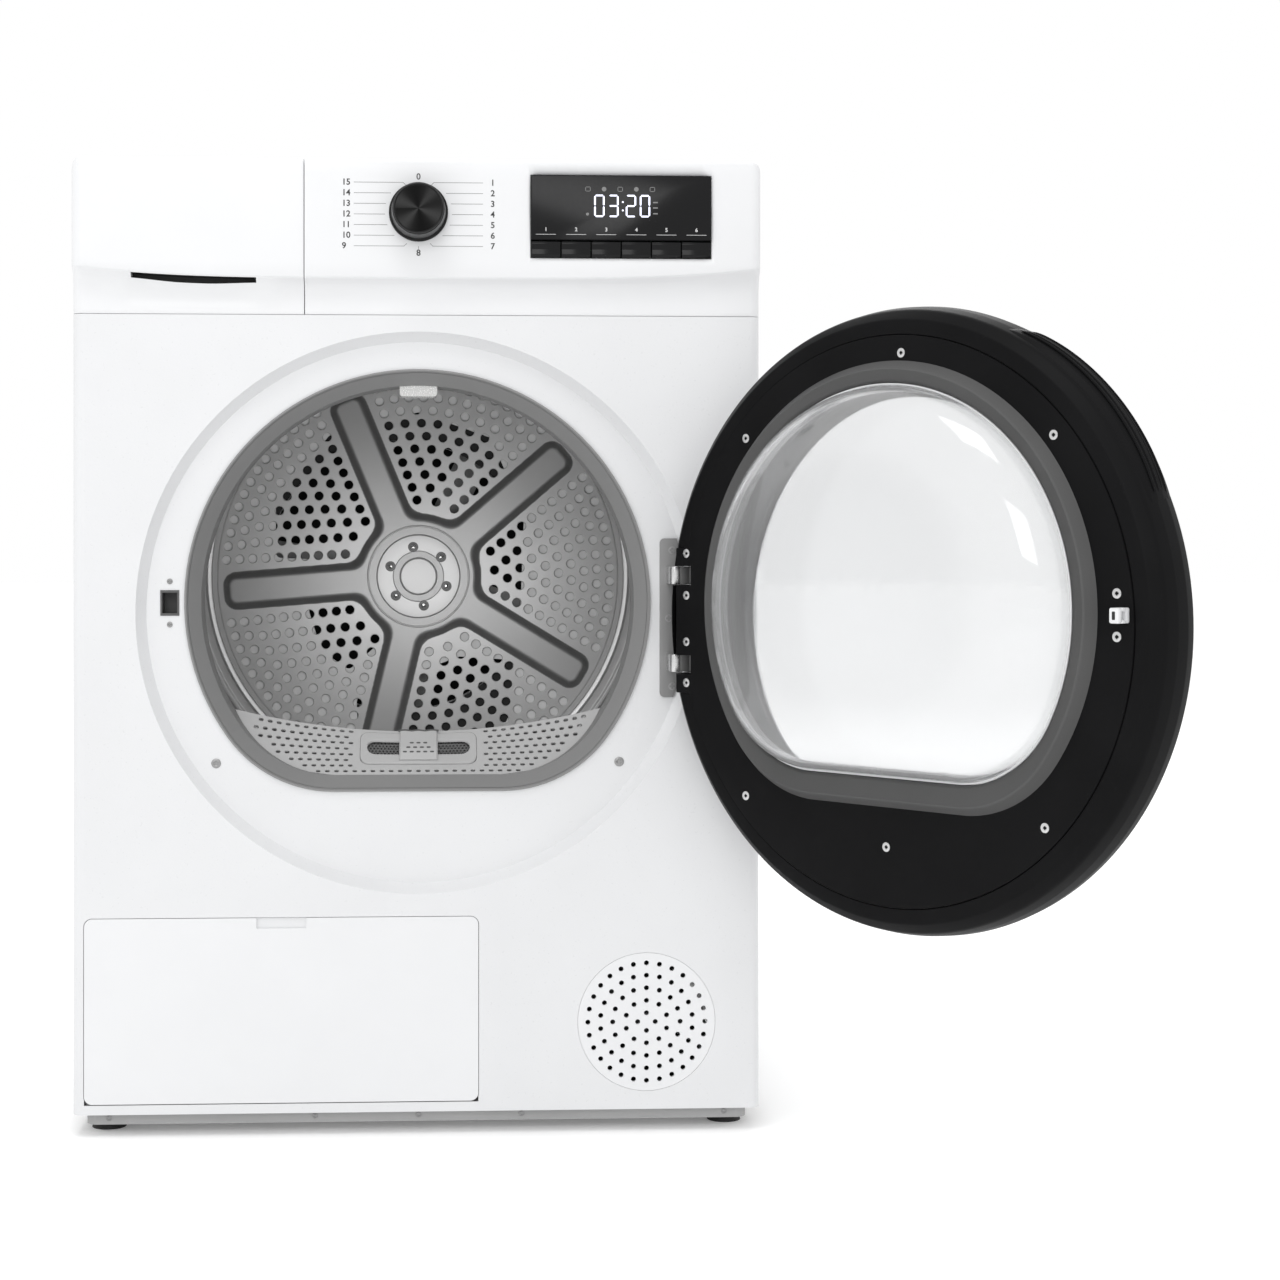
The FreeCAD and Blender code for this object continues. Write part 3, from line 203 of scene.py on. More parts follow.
def mesh_of_curve(name, curve):
    """Mesh of a curve, which is removed, stood upright to face -Y."""
    holder = linked(name, curve)
    mesh = evaluated_mesh(holder)
    bpy.data.objects.remove(holder)
    bpy.data.curves.remove(curve)
    mesh.materials.clear()
    mesh.transform(Matrix.Rotation(math.pi / 2, 4, "X"))
    return mesh


def shade_smooth(mesh, sharp=38):
    """Smooth shading, with edges over sharp degrees kept sharp."""
    mesh.polygons.foreach_set("use_smooth", [True] * len(mesh.polygons))
    mesh.set_sharp_from_angle(angle=math.radians(sharp))


def as_object(name, mesh, body, slot, finish=None, stands_for=(), sharp=38):
    """Object for a mesh in millimetres; it rides on body and by default has its slot's paint."""
    if body == "door":
        mesh.transform(DOOR_TURN)
    mesh.transform(Matrix.Scale(MM, 4))
    shade_smooth(mesh, sharp)
    finishes = finish if isinstance(finish, list) else [finish or paints[slot]]
    for one in finishes:
        mesh.materials.append(one)
    piece = linked(name, mesh)
    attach(piece, body)
    for node in ([stands_for] if isinstance(stands_for, str) else stands_for):
        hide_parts(node)
    return piece


class Shape:
    """Vertices and faces of one piece, gathered part by part."""

    def __init__(self):
        self.points = []
        self.faces = []
        self.finish = []

    def add(self, points, faces):
        start = len(self.points)
        self.points += [tuple(p) for p in points]
        self.faces += [tuple(start + i for i in face) for face in faces]
        self.finish += [0] * len(faces)
        return self

    def skin(self, loops, closed=True, tube=False, cap_start=False, cap_end=False):
        """Quads between loops of equal length; tube joins the last loop to the first."""
        count = len(loops[0])
        points = [p for loop in loops for p in loop]
        faces = []
        rows = len(loops) if tube else len(loops) - 1
        for row in range(rows):
            low, high = row * count, ((row + 1) % len(loops)) * count
            for k in range(count if closed else count - 1):
                after = (k + 1) % count
                faces.append((low + k, low + after, high + after, high + k))
        if cap_start:
            faces.append(tuple(reversed(range(count))))
        if cap_end:
            faces.append(tuple(range(len(points) - count, len(points))))
        return self.add(points, faces)

    def lathe(self, profile, x=0.0, z=0.0, steps=160, closed=True):
        """Profile of (radius, y) turned about the Y line through (x, z)."""
        loops = []
        for k in range(steps):
            c, s = math.cos(TAU * k / steps), math.sin(TAU * k / steps)
            loops.append([(x + r * c, y, z + r * s) for r, y in profile])
        return self.skin(loops, closed=closed, tube=True)

    def slab(self, outline, y0, y1, edge=0.5, x=0.0, z=0.0):
        """Outline in X and Z drawn from y0 (front) to y1, its front and back edges rounded."""
        count = len(outline)
        area = sum(outline[i - 1][0] * outline[i][1] - outline[i][0] * outline[i - 1][1]
                   for i in range(count))
        sign = 1 if area > 0 else -1
        inward = []
        for i in range(count):
            before, after = Vector(outline[i - 1]), Vector(outline[(i + 1) % count])
            along = (after - before).normalized()
            inward.append(Vector((-along.y, along.x)) * sign)
        loops = []
        for depth, shrink in ((0, 1), (0.29, 0.29), (1, 0)) if edge > 0 else ((0, 0),):
            loops.append([(x + p[0] + n.x * edge * shrink, y0 + edge * depth,
                           z + p[1] + n.y * edge * shrink) for p, n in zip(outline, inward)])
        back = [[(px, y1 - (py - y0), pz) for px, py, pz in loop] for loop in reversed(loops)]
        return self.skin(loops + back, cap_start=True, cap_end=True)

    def column(self, outlines):
        """Closed body through (height, outline in X and Y) pairs."""
        return self.skin([[(x, y, height) for x, y in outline] for height, outline in outlines],
                         cap_start=True, cap_end=True)

    def sheet(self, rows):
        return self.skin(rows, closed=False)

    def mesh(self, name, recalculate=True):
        mesh = bpy.data.meshes.new(name)
        mesh.from_pydata(self.points, [], self.faces)
        mesh.polygons.foreach_set("material_index", self.finish)
        work = bmesh.new()
        work.from_mesh(mesh)
        bmesh.ops.remove_doubles(work, verts=work.verts, dist=0.002)
        bmesh.ops.dissolve_degenerate(work, edges=work.edges, dist=0.001)
        if recalculate:
            bmesh.ops.recalc_face_normals(work, faces=work.faces)
        work.to_mesh(mesh)
        work.free()
        return mesh

    def piece(self, name, body, slot, finish=None, **options):
        recalculate = options.pop("recalculate", True)
        return as_object(name, self.mesh(name, recalculate), body, slot, finish, **options)


def plate_mesh(name, outline, holes, thickness, edge, y):
    """Flat plate with holes, its edges rounded; its front face is at y."""
    curve = bpy.data.curves.new(name + "_outline", "CURVE")
    curve.dimensions = "2D"
    curve.fill_mode = "BOTH"
    curve.extrude = thickness / 2 - edge
    curve.bevel_depth = edge
    curve.bevel_resolution = 1
    for loop in [outline] + holes:
        spline = curve.splines.new("POLY")
        spline.points.add(len(loop) - 1)
        spline.use_cyclic_u = True
        for place, (px, pz) in zip(spline.points, loop):
            place.co = (px, pz, 0, 1)
    mesh = mesh_of_curve(name + "_outline", curve)
    mesh.name = name
    mesh.transform(Matrix.Translation((0, y + thickness / 2, 0)))
    return mesh


def sliced(mesh, cuts):
    """The same mesh with extra edges where the planes of cuts, (axis, place) pairs, cross it."""
    grid = bmesh.new()
    grid.from_mesh(mesh)
    for axis, place in cuts:
        normal = [0.0, 0.0, 0.0]
        normal[axis] = 1.0
        bmesh.ops.bisect_plane(grid, geom=grid.verts[:] + grid.edges[:] + grid.faces[:], dist=0.0001,
                               plane_co=[n * place for n in normal], plane_no=normal)
    grid.to_mesh(mesh)
    grid.free()
    return mesh


def carved(piece, cutters):
    """Piece with the cutters, Shapes in closed-door millimetres, taken out of it."""
    for shape in cutters:
        mesh = shape.mesh("cutter")
        mesh.transform(DOOR_TURN)
        mesh.transform(Matrix.Scale(MM, 4))
        holder = linked("cutter", mesh)
        modifier = piece.modifiers.new("cut", "BOOLEAN")
        modifier.operation = "DIFFERENCE"
        modifier.solver = "EXACT"
        modifier.object = holder
        fresh = evaluated_mesh(piece)
        piece.modifiers.clear()
        bpy.data.objects.remove(holder)
        piece.data = fresh
    shade_smooth(piece.data)


def block(x0, x1, y0, y1, z0, z1):
    corners = [(x, y, z) for x in (x0, x1) for y in (y0, y1) for z in (z0, z1)]
    faces = [(0, 1, 3, 2), (4, 6, 7, 5), (0, 4, 5, 1), (2, 3, 7, 6), (0, 2, 6, 4), (1, 5, 7, 3)]
    return Shape().add(corners, faces)


# ------------------------------------------------------------------ materials
def srgb(level, blue=0.0):
    """Linear grey for a display level from 0 to 255; blue shifts it cooler."""
    value = level / 255
    linear = value / 12.92 if value < 0.04045 else ((value + 0.055) / 1.055) ** 2.4
    return (linear * (1 - blue), linear, linear * (1 + blue))


def add_node(made, kind, **values):
    """New shader node of a material, with some of its inputs set."""
    node = made.node_tree.nodes.new("ShaderNode" + kind)
    for key, value in values.items():
        node.inputs[key.replace("_", " ")].default_value = value
    return node


def join(made, source, output, target, socket):
    """Link from one node's output to another's input."""
    made.node_tree.links.new(source.outputs[output], target.inputs[socket])


def ramp(made, stops):
    """Colour ramp through (position, colour) stops; a lone number is a grey."""
    node = add_node(made, "ValToRGB")
    elements = node.color_ramp.elements
    while len(elements) < len(stops):
        elements.new(1.0)
    for element, (position, colour) in zip(elements, stops):
        element.position = position
        element.color = (*colour, 1) if isinstance(colour, (list, tuple)) else (colour, colour, colour, 1)
    return node


def principled(made):
    return made.node_tree.nodes["Principled BSDF"]


def times(colour, factor):
    return [min(1, c * factor) for c in colour]


def finish(name, colour, rough, vary=0.03, grain=0.0012, bump=0.05, rough_vary=0.06,
           patch=0.08, stretch=(1, 1, 1), speck=0.0, **sockets):
    """Principled material: broad colour drift, fine surface grain in roughness and bump.

    grain and patch are the sizes of the fine and the broad variation in metres."""
    made = bpy.data.materials.new(name)
    made.use_nodes = True
    shader = principled(made)
    for key, value in sockets.items():
        shader.inputs[key.replace("_", " ")].default_value = value
    place = add_node(made, "TexCoord")
    scaled = add_node(made, "Mapping", Scale=stretch)
    join(made, place, "Object", scaled, "Vector")
    broad = add_node(made, "TexNoise", Scale=1 / patch, Detail=2)
    join(made, place, "Object", broad, "Vector")
    fine = add_node(made, "TexNoise", Scale=1 / grain, Detail=3)
    join(made, scaled, "Vector", fine, "Vector")
    tint = ramp(made, [(0.3, times(colour, 1 - vary)), (0.7, times(colour, 1 + vary))])
    join(made, broad, "Fac", tint, "Fac")
    if speck > 0:
        spots = ramp(made, [(0.35, 1 - speck), (0.65, 1)])
        join(made, fine, "Fac", spots, "Fac")
        mix = add_node(made, "MixRGB", Fac=1)
        mix.blend_type = "MULTIPLY"
        join(made, tint, "Color", mix, "Color1")
        join(made, spots, "Color", mix, "Color2")
        tint = mix
    join(made, tint, "Color", shader, "Base Color")
    spread = add_node(made, "MapRange", From_Min=0.3, From_Max=0.7, To_Min=max(0.01, rough - rough_vary),
                      To_Max=min(1, rough + rough_vary))
    join(made, fine, "Fac", spread, "Value")
    join(made, spread, "Result", shader, "Roughness")
    if bump > 0:
        relief = add_node(made, "Bump", Strength=bump, Distance=grain * 0.25)
        join(made, fine, "Fac", relief, "Height")
        join(made, relief, "Normal", shader, "Normal")
    return made


def galvanised(name, colour, rough):
    """Zinc-coated sheet: metal with a faint spangle of crystals."""
    made = finish(name, colour, rough, vary=0.05, grain=0.0016, bump=0.06, Metallic=1.0)
    crystals = add_node(made, "TexVoronoi", Scale=110)
    join(made, add_node(made, "TexCoord"), "Object", crystals, "Vector")
    level = add_node(made, "RGBToBW")
    join(made, crystals, "Color", level, "Color")
    shade = ramp(made, [(0.0, times(colour, 0.86)), (1.0, times(colour, 1.08))])
    join(made, level, "Val", shade, "Fac")
    join(made, shade, "Color", principled(made), "Base Color")
    return made


def front_facing(made):
    """Mapping whose X and Y run along the object's X and Z."""
    flat = add_node(made, "Mapping", Rotation=(math.pi / 2, 0, 0))
    join(made, add_node(made, "TexCoord"), "Object", flat, "Vector")
    return flat


def board_finish(name):
    """Green circuit board with paler copper tracks under its lacquer."""
    lacquer = (0.012, 0.09, 0.03)
    made = finish(name, lacquer, 0.35, vary=0.1, grain=0.002)
    tracks = add_node(made, "TexBrick", Scale=90, Mortar_Size=0.03, Color1=(*lacquer, 1),
                      Color2=(0.016, 0.12, 0.04, 1), Mortar=(0.05, 0.2, 0.06, 1))
    join(made, front_facing(made), "Vector", tracks, "Vector")
    join(made, tracks, "Color", principled(made), "Base Color")
    return made


paints = {
    "white_steel": finish("white_steel_paint", (0.665, 0.67, 0.68), 0.32, vary=0.012, grain=0.0022,
                          bump=0.10, rough_vary=0.05, Coat_Weight=0.25, Coat_Roughness=0.2),
    "white_laminate": finish("white_laminate_top", (0.69, 0.695, 0.705), 0.45, vary=0.015, grain=0.0006,
                             bump=0.12, speck=0.02),
    "white_plastic": finish("white_moulding", (0.70, 0.705, 0.715), 0.36, vary=0.01, grain=0.0007,
                            bump=0.05, rough_vary=0.04),
    "black_plastic": finish("black_moulding", (0.0062, 0.0062, 0.0066), 0.42, vary=0.15, grain=0.0005,
                            bump=0.07, rough_vary=0.07, Specular_IOR_Level=0.05),
    "black_gloss": finish("black_pane", (0.004, 0.004, 0.0045), 0.2, vary=0.1, grain=0.003,
                          bump=0.01, rough_vary=0.02, Specular_IOR_Level=0.2),
    "bezel_grey": finish("grey_bezel", srgb(128), 0.55, vary=0.02, grain=0.0005, bump=0.14),
    "light_grey_plastic": finish("light_grey_moulding", srgb(200), 0.48, vary=0.02, grain=0.0006, bump=0.1),
    "dark_grey_plastic": finish("dark_grey_moulding", srgb(78), 0.5, vary=0.05, grain=0.0006, bump=0.12),
    "base_grey": finish("grey_base", srgb(158), 0.55, vary=0.03, grain=0.0007, bump=0.12),
    "tank_plastic": finish("tank_shell", (0.74, 0.77, 0.78), 0.3, vary=0.03, grain=0.001, bump=0.04,
                           Transmission_Weight=0.25),
    "lamp_lens": finish("lamp_diffuser", (0.80, 0.80, 0.79), 0.25, vary=0.02, grain=0.001, bump=0.05,
                        Transmission_Weight=0.3, IOR=1.49),
    "drum_steel": finish("drum_sheet", srgb(190), 0.4, vary=0.04, grain=0.0009, bump=0.05,
                         rough_vary=0.06, stretch=(1, 0.08, 1), Metallic=0.6),
    "galvanised_steel": galvanised("galvanised_sheet", srgb(196), 0.38),
    "hinge_steel": finish("hinge_plating", srgb(200), 0.28, vary=0.03, grain=0.0008, bump=0.04, Metallic=1.0),
    "screw_steel": finish("screw_plating", srgb(205), 0.3, vary=0.05, grain=0.0005, bump=0.08, Metallic=1.0),
    "door_glass": finish("clear_glass", (0.91, 0.915, 0.92), 0.015, vary=0.003, grain=0.01, bump=0.0,
                         rough_vary=0.008, Transmission_Weight=1.0, IOR=1.46),
    "seal_rubber": finish("seal_rubber_grey", srgb(72), 0.66, vary=0.05, grain=0.0006, bump=0.15),
    "black_rubber": finish("black_rubber_feet", srgb(30), 0.7, vary=0.12, grain=0.0007, bump=0.25),
    "felt": finish("felt_band", srgb(118), 0.95, vary=0.15, grain=0.0004, bump=0.8, Sheen_Weight=0.4,
                   Sheen_Roughness=0.5),
    "fin_aluminium": finish("fin_sheet", srgb(205), 0.33, vary=0.03, grain=0.0008, bump=0.05, Metallic=1.0),
    "motor_metal": finish("motor_casting", srgb(150), 0.45, vary=0.06, grain=0.001, bump=0.25, Metallic=1.0),
    "compressor_steel": finish("compressor_enamel", srgb(34), 0.4, vary=0.1, grain=0.0012, bump=0.15,
                               Coat_Weight=0.2),
    "circuit_board": board_finish("board_lacquer"),
}
for node in frame["nodes"].values():
    for slot in node.material_slots:
        name = slot.material.name.split(".")[0]
        if name in paints:
            slot.material = paints[name]

lit = finish("display_light", (0.82, 0.84, 1.0), 0.5, vary=0.01, bump=0.0,
             Emission_Color=(0.80, 0.83, 1.0, 1), Emission_Strength=0.75)
print_grey = finish("grey_print", srgb(120), 0.6, vary=0.03, bump=0.0)
print_dark = finish("dark_print", srgb(52), 0.6, vary=0.03, bump=0.0)
print_white = finish("white_print", srgb(205), 0.6, vary=0.02, bump=0.0)
# painted shade: near-black for the deep slot in the drawer handle and for the striker's slot
painted_slot_shade = finish("handle_shadow_gap", srgb(22), 0.6, vary=0.1, grain=0.0006, bump=0.15)
chrome = finish("chrome_mark", srgb(238), 0.12, vary=0.01, grain=0.001, bump=0.0, Metallic=1.0)
# darker metal: painted shade in the hub's grooves, and the washers' own grey
hub_groove_shade_and_washer_grey = finish("hub_groove_painted_shade_and_washer", srgb(96), 0.45, vary=0.06, grain=0.0009, bump=0.05,
                   stretch=(1, 0.08, 1), Metallic=1.0)


def mark(made, attribute):
    """Node that reads a mesh attribute."""
    node = add_node(made, "Attribute")
    node.attribute_name = attribute
    return node


def pressed_finish():
    """Drum sheet whose pressed flanks, marked by the mesh's flank attribute, get a darker painted shade
    standing in for their dark reflection.
    """
    made = finish("drum_star_painted_flank_shade", srgb(172), 0.42, vary=0.04, grain=0.0009, bump=0.05,
                  rough_vary=0.06, stretch=(1, 0.08, 1), Metallic=0.6)
    colour = principled(made).inputs["Base Color"]
    # painted shade: a darker grey is mixed into the colour on the pressed flanks
    blend = add_node(made, "MixRGB", Color2=(*srgb(138), 1))
    join(made, mark(made, "flank"), "Fac", blend, "Fac")
    join(made, colour.links[0].from_node, "Color", blend, "Color1")
    join(made, blend, "Color", principled(made), "Base Color")
    return made


def turned_finish():
    """Knob face turned on a lathe, with radial anisotropy; painted highlights in soft spokes round the middle
    lighten its colour.
    """
    made = finish("knob_face_painted_highlights", (0.012, 0.012, 0.012), 0.28, vary=0.05, grain=0.0006, bump=0.0,
                  rough_vary=0.03, Metallic=1.0, Anisotropic=0.8)
    round_about = add_node(made, "Tangent")
    round_about.direction_type = "RADIAL"
    round_about.axis = "Y"
    join(made, round_about, "Tangent", principled(made), "Tangent")
    angle = add_node(made, "TexGradient")
    angle.gradient_type = "RADIAL"
    join(made, front_facing(made), "Vector", angle, "Vector")
    # painted highlights: lighter spokes round the middle, put into the base colour
    painted_highlight_rays = ramp(made, [(0.0, 0.010), (0.07, 0.045), (0.14, 0.008), (0.30, 0.006), (0.36, 0.03),
                       (0.42, 0.008), (0.5, 0.010), (0.57, 0.05), (0.64, 0.008), (0.80, 0.006),
                       (0.87, 0.035), (0.94, 0.008)])
    painted_highlight_rays.color_ramp.interpolation = "B_SPLINE"
    join(made, angle, "Fac", painted_highlight_rays, "Fac")
    join(made, painted_highlight_rays, "Color", principled(made), "Base Color")
    return made


cover_grey = finish("cover_grey", srgb(166), 0.5, vary=0.02, grain=0.0006, bump=0.08)
head_grey = finish("head_grey", srgb(150), 0.4, vary=0.05, grain=0.0005, bump=0.08, Metallic=0.7)
knuckle_grey = finish("knuckle_grey", srgb(96), 0.4, vary=0.04, grain=0.0006, bump=0.06, Metallic=0.4)
guide_white = finish("guide_white", srgb(235), 0.6, vary=0.02, grain=0.001, bump=0.05)


def bowl_finish():
    """Clear moulding; its steep side, marked by the mesh's side attribute, is slightly milky."""
    made = finish("bowl_glass", (0.91, 0.915, 0.92), 0.015, vary=0.003, grain=0.01, bump=0.0,
                  Transmission_Weight=1.0, IOR=1.45)
    clear = add_node(made, "MapRange", To_Min=1.0, To_Max=0.84)
    join(made, mark(made, "side"), "Fac", clear, "Value")
    join(made, clear, "Result", principled(made), "Transmission Weight")
    return made


star_finish = pressed_finish()
bowl_glass = bowl_finish()
knob_face = turned_finish()
knob_black = finish("knob_black", (0.003, 0.003, 0.0033), 0.3, vary=0.1, grain=0.0005, bump=0.04,
                    Specular_IOR_Level=0.25)

# ------------------------------------------------------------------ fascia and drawer front
CREASE_MIDDLE = 742.0
CREASE_RISE = 9.5
TOP_CORNER = 8.0
HANDLE_LEFT, HANDLE_RIGHT = -247.0, -140.0


def crease_height(x):
    """The crease climbs towards both ends of the panel."""
    return CREASE_MIDDLE + CREASE_RISE * (abs(x) / HALF_WIDTH) ** 4


def smooth(low, high, value):
    t = min(1.0, max(0.0, (value - low) / (high - low)))
    return t * t * (3 - 2 * t)


def bump_between(x, low, high, soft):
    return smooth(low, low + soft, x) * (1 - smooth(high - soft, high, x))


def front_column(x, back_shift, top_drop, handle):
    """Points down the face at x: top, flat part, crease, slot band, cove and lower lip."""
    front, crease, top = FASCIA_Y + back_shift, crease_height(x), FASCIA_TOP - top_drop
    points = [(FASCIA_BACK_Y, top)]
    for angle in (0, 22.5, 45, 67.5, 90):
        a = math.radians(angle)
        points.append((front + 3 - 3 * math.sin(a), top - 3 + 3 * math.cos(a)))
    for z in (pane_high.z + 0.3, 800.0, button_low.z - 0.3, 755.0):
        points.append((front, min(z, top - 4)))
    points += [(front, crease + 1.6), (front + 0.25, crease + 0.7), (front + 0.9, crease)]
    scoop = bump_between(x, -268, -126, 30) if handle else 0.0
    flatten = bump_between(x, -280, -104, 26) if handle else 0.0
    low = FASCIA_LOW + 0.8
    start = crease - 0.3
    slot_height = 4.2 + 1.6 * bump_between(x, HANDLE_LEFT, HANDLE_RIGHT, 45)

    def cove(z):
        t = (start - z) / (start - low)
        hollow = 10.0 * (1 - (1 - t) ** (4.4 - 2.0 * flatten))
        dip = 3.6 * scoop * max(0.0, 1 - t / 0.8) ** 0.7 * smooth(0, 0.1, t)
        return min(front + 0.9 + (hollow - 0.9 * t) + dip, FASCIA_BACK_Y - 1)

    inside = handle and HANDLE_LEFT <= x <= HANDLE_RIGHT
    for share in (0.0, 0.02, 0.98, 1.0):
        z = start - slot_height * share
        deep = inside and share in (0.02, 0.98)
        points.append((FASCIA_Y + 14.5 if deep else cove(z), z))
    bottom_of_slot = start - slot_height
    for k in range(1, 13):
        z = bottom_of_slot + (low - bottom_of_slot) * k / 12
        points.append((cove(z), z))
    points += [(points[-1][0] + 0.35, FASCIA_LOW), (FASCIA_BACK_Y, FASCIA_LOW)]
    return [(x, y, z) for y, z in points]


SLOT_ROWS = range(13, 16)               # rows of front_column between which the slot lies


def panel_mesh(x0, x1, outer, stops, window=None, handle=False):
    """Moulding from x0 to x1; outer (-1 or 1) is its end at the cabinet's corner."""
    places = []
    for k in range(9):                  # rounded outer corner
        a = math.radians(90 * k / 8)
        places.append((TOP_CORNER * (1 - math.cos(a)), TOP_CORNER * (1 - math.sin(a))))
    end = x0 if outer < 0 else x1
    columns = []
    for inset, shift in places:
        drop = TOP_CORNER - math.sqrt(max(0.0, TOP_CORNER ** 2 - (TOP_CORNER - inset) ** 2))
        columns.append((end - outer * inset, shift, drop))
    inner_end = x1 if outer < 0 else x0
    for x in stops:
        columns.append((x, 0.0, 0.0))
    columns += [(inner_end + outer * 0.5, 0.0, 0.0), (inner_end + outer * 0.15, 0.15, 0.0),
                (inner_end, 0.5, 0.0)]
    columns.sort(key=lambda column: column[0])
    rows = [front_column(x, shift, drop, handle) for x, shift, drop in columns]
    shape = Shape()
    count = len(rows[0])
    points = [p for row in rows for p in row]
    faces, finishes = [], []
    for i in range(len(rows) - 1):
        for k in range(count - 1):
            middle_x = (rows[i][k][0] + rows[i + 1][k][0]) / 2
            middle_z = (rows[i][k][2] + rows[i][k + 1][2]) / 2
            if window and window[0] < middle_x < window[1] and window[2] < middle_z < window[3]:
                continue
            # painted shade: the slot's faces inside the handle take the near-black second material
            dark = handle and k in SLOT_ROWS and HANDLE_LEFT <= middle_x <= HANDLE_RIGHT
            faces.append((i * count + k, i * count + k + 1, (i + 1) * count + k + 1, (i + 1) * count + k))
            finishes.append(1 if dark else 0)
    faces += [tuple(range(count)), tuple(reversed(range(len(points) - count, len(points))))]
    finishes += [0, 0]
    shape.points, shape.faces, shape.finish = points, faces, finishes
    return shape


def between(low, high, step):
    count = max(1, round((high - low) / step))
    return [low + (high - low) * k / count for k in range(count + 1)]


window = (pane_low.x - 0.3, pane_high.x + 0.3, button_low.z - 0.3, pane_high.z + 0.3)
stops = (between(fascia_low.x + 2, window[0] - 2, 12) + [window[0], window[1]]
         + between(window[0] + 8, window[1] - 8, 14) + between(window[1] + 3, HALF_WIDTH - 10, 6))
fascia = panel_mesh(fascia_low.x, fascia_high.x, 1, stops, window).piece(
    "fascia_moulding", "cabinet", "white_plastic",
    stands_for="control_fascia", sharp=30)
edge_steps = [HANDLE_LEFT - 0.2, HANDLE_LEFT, HANDLE_RIGHT, HANDLE_RIGHT + 0.2]
stops = (between(-HALF_WIDTH + 10, HANDLE_LEFT - 3, 3) + edge_steps
         + between(HANDLE_LEFT + 2, HANDLE_RIGHT - 2, 4) + between(HANDLE_RIGHT + 3, tank_high.x - 2.5, 3))
drawer = panel_mesh(tank_low.x, node_box("tank_front")[1].x, -1, stops, handle=True).piece(
    "drawer_front", "tank", "white_plastic", [paints["white_plastic"], painted_slot_shade],
    stands_for="tank_front", sharp=30)
for moulding in (fascia, drawer):
    wall = moulding.modifiers.new("wall", "SOLIDIFY")
    wall.thickness = 2.2 * MM
    wall.offset = -1
    wall.use_rim = True


# ------------------------------------------------------------------ marks on the fascia
MARK_Y = FASCIA_Y - 0.06


def stroke(shape, points, width, y, thick=0.12):
    """Thin flat line through points in X and Z, printed at y."""
    for (ax, az), (bx, bz) in zip(points, points[1:]):
        along = Vector((bx - ax, bz - az))
        side = Vector((-along.y, along.x)).normalized() * width / 2
        tip = along.normalized() * width / 2
        corners = [(ax - tip.x + side.x, az - tip.y + side.y), (ax - tip.x - side.x, az - tip.y - side.y),
                   (bx + tip.x - side.x, bz + tip.y - side.y), (bx + tip.x + side.x, bz + tip.y + side.y)]
        shape.slab(corners, y, y + thick, edge=0)


def number_mesh(text, x, z, size, y, name, body, slot, paint, align="CENTER"):
    """Printed number as a thin mesh, its middle height at z."""
    curve = bpy.data.curves.new(name, "FONT")
    curve.body = text
    curve.size = size
    curve.extrude = 0.05
    curve.offset = size * 0.018
    curve.align_x = align
    curve.align_y = "CENTER"
    mesh = mesh_of_curve(name + "_text", curve)
    mesh.transform(Matrix.Translation((x, y, z)))
    return as_object(name, mesh, body, slot, paint)


ROW_PITCH = 9.16
ROW_TOP = KNOB_Z + 25.7
LABEL_X = 66.0
leaders = Shape()
for row in range(7):
    z = ROW_TOP - row * ROW_PITCH
    rise = z - KNOB_Z
    clear = KNOB_BASE_RADIUS + 3.2
    near = math.sqrt(max(clear ** 2 - rise ** 2, 0)) if abs(rise) < clear - 2 else 12.0
    near = max(near, 11.5)
    for side in (-1, 1):
        line = [(side * (near + 0.5), z), (side * (LABEL_X - 10.5), z)]
        if abs(rise) > 24:
            line = [(side * (near - 1.8), z - math.copysign(2.2, rise))] + line
        stroke(leaders, line, 0.42, MARK_Y)
        text = str(row + 1) if side > 0 else str(15 - row)
        number_mesh(text, side * LABEL_X, z, 7.4, MARK_Y, "program_number_" + text, "cabinet",
                    "white_plastic", print_dark, "RIGHT" if side > 0 else "LEFT")
for text, z in (("0", KNOB_Z + 30.6), ("8", KNOB_Z - 35.2)):
    number_mesh(text, 0, z, 7.4, MARK_Y, "program_number_" + text, "cabinet", "white_plastic", print_dark)
stroke(leaders, [(0, KNOB_Z - 29.6), (0, KNOB_Z - 31.6)], 0.42, MARK_Y)
leaders.piece("program_leader_lines", "cabinet", "white_plastic", print_grey)


# ------------------------------------------------------------------ program knob
knob = Shape()
knob.lathe(rounded([(0.01, FASCIA_Y - 0.5), (KNOB_BASE_RADIUS, FASCIA_Y - 0.5),
                    (KNOB_BASE_RADIUS, FASCIA_Y - 3.4, 1.2), (KNOB_RADIUS + 1.2, FASCIA_Y - 3.4, 0.6),
                    (KNOB_RADIUS, knob_low.y + 1.2, 0.9), (KNOB_RADIUS - 1.0, knob_low.y, 0.5),
                    (KNOB_RADIUS - 1.9, knob_low.y, 0.3), (KNOB_RADIUS - 2.3, knob_low.y + 0.6),
                    (0.01, knob_low.y + 0.6)], 0, closed=False), z=KNOB_Z, closed=False, steps=128)
knob.piece("knob_grip", "knob", "black_plastic", knob_black, stands_for="program_knob")
face = Shape().lathe([(0.01, 0), (KNOB_RADIUS - 2.6, 0), (KNOB_RADIUS - 2.6, 0.3)], closed=False, steps=96)
face_piece = face.piece("knob_face", "knob", "black_plastic", knob_face)
face_piece.location = Vector((0, knob_low.y + 0.35, KNOB_Z)) * MM
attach(face_piece, "knob")
Shape().lathe([(KNOB_RADIUS - 1.1, knob_low.y - 0.02), (KNOB_RADIUS - 0.75, knob_low.y - 0.02),
               (KNOB_RADIUS - 0.75, knob_low.y + 0.4), (KNOB_RADIUS - 1.1, knob_low.y + 0.4)],
              z=KNOB_Z, steps=128).piece("knob_edge_ring", "knob", "black_plastic", print_dark)
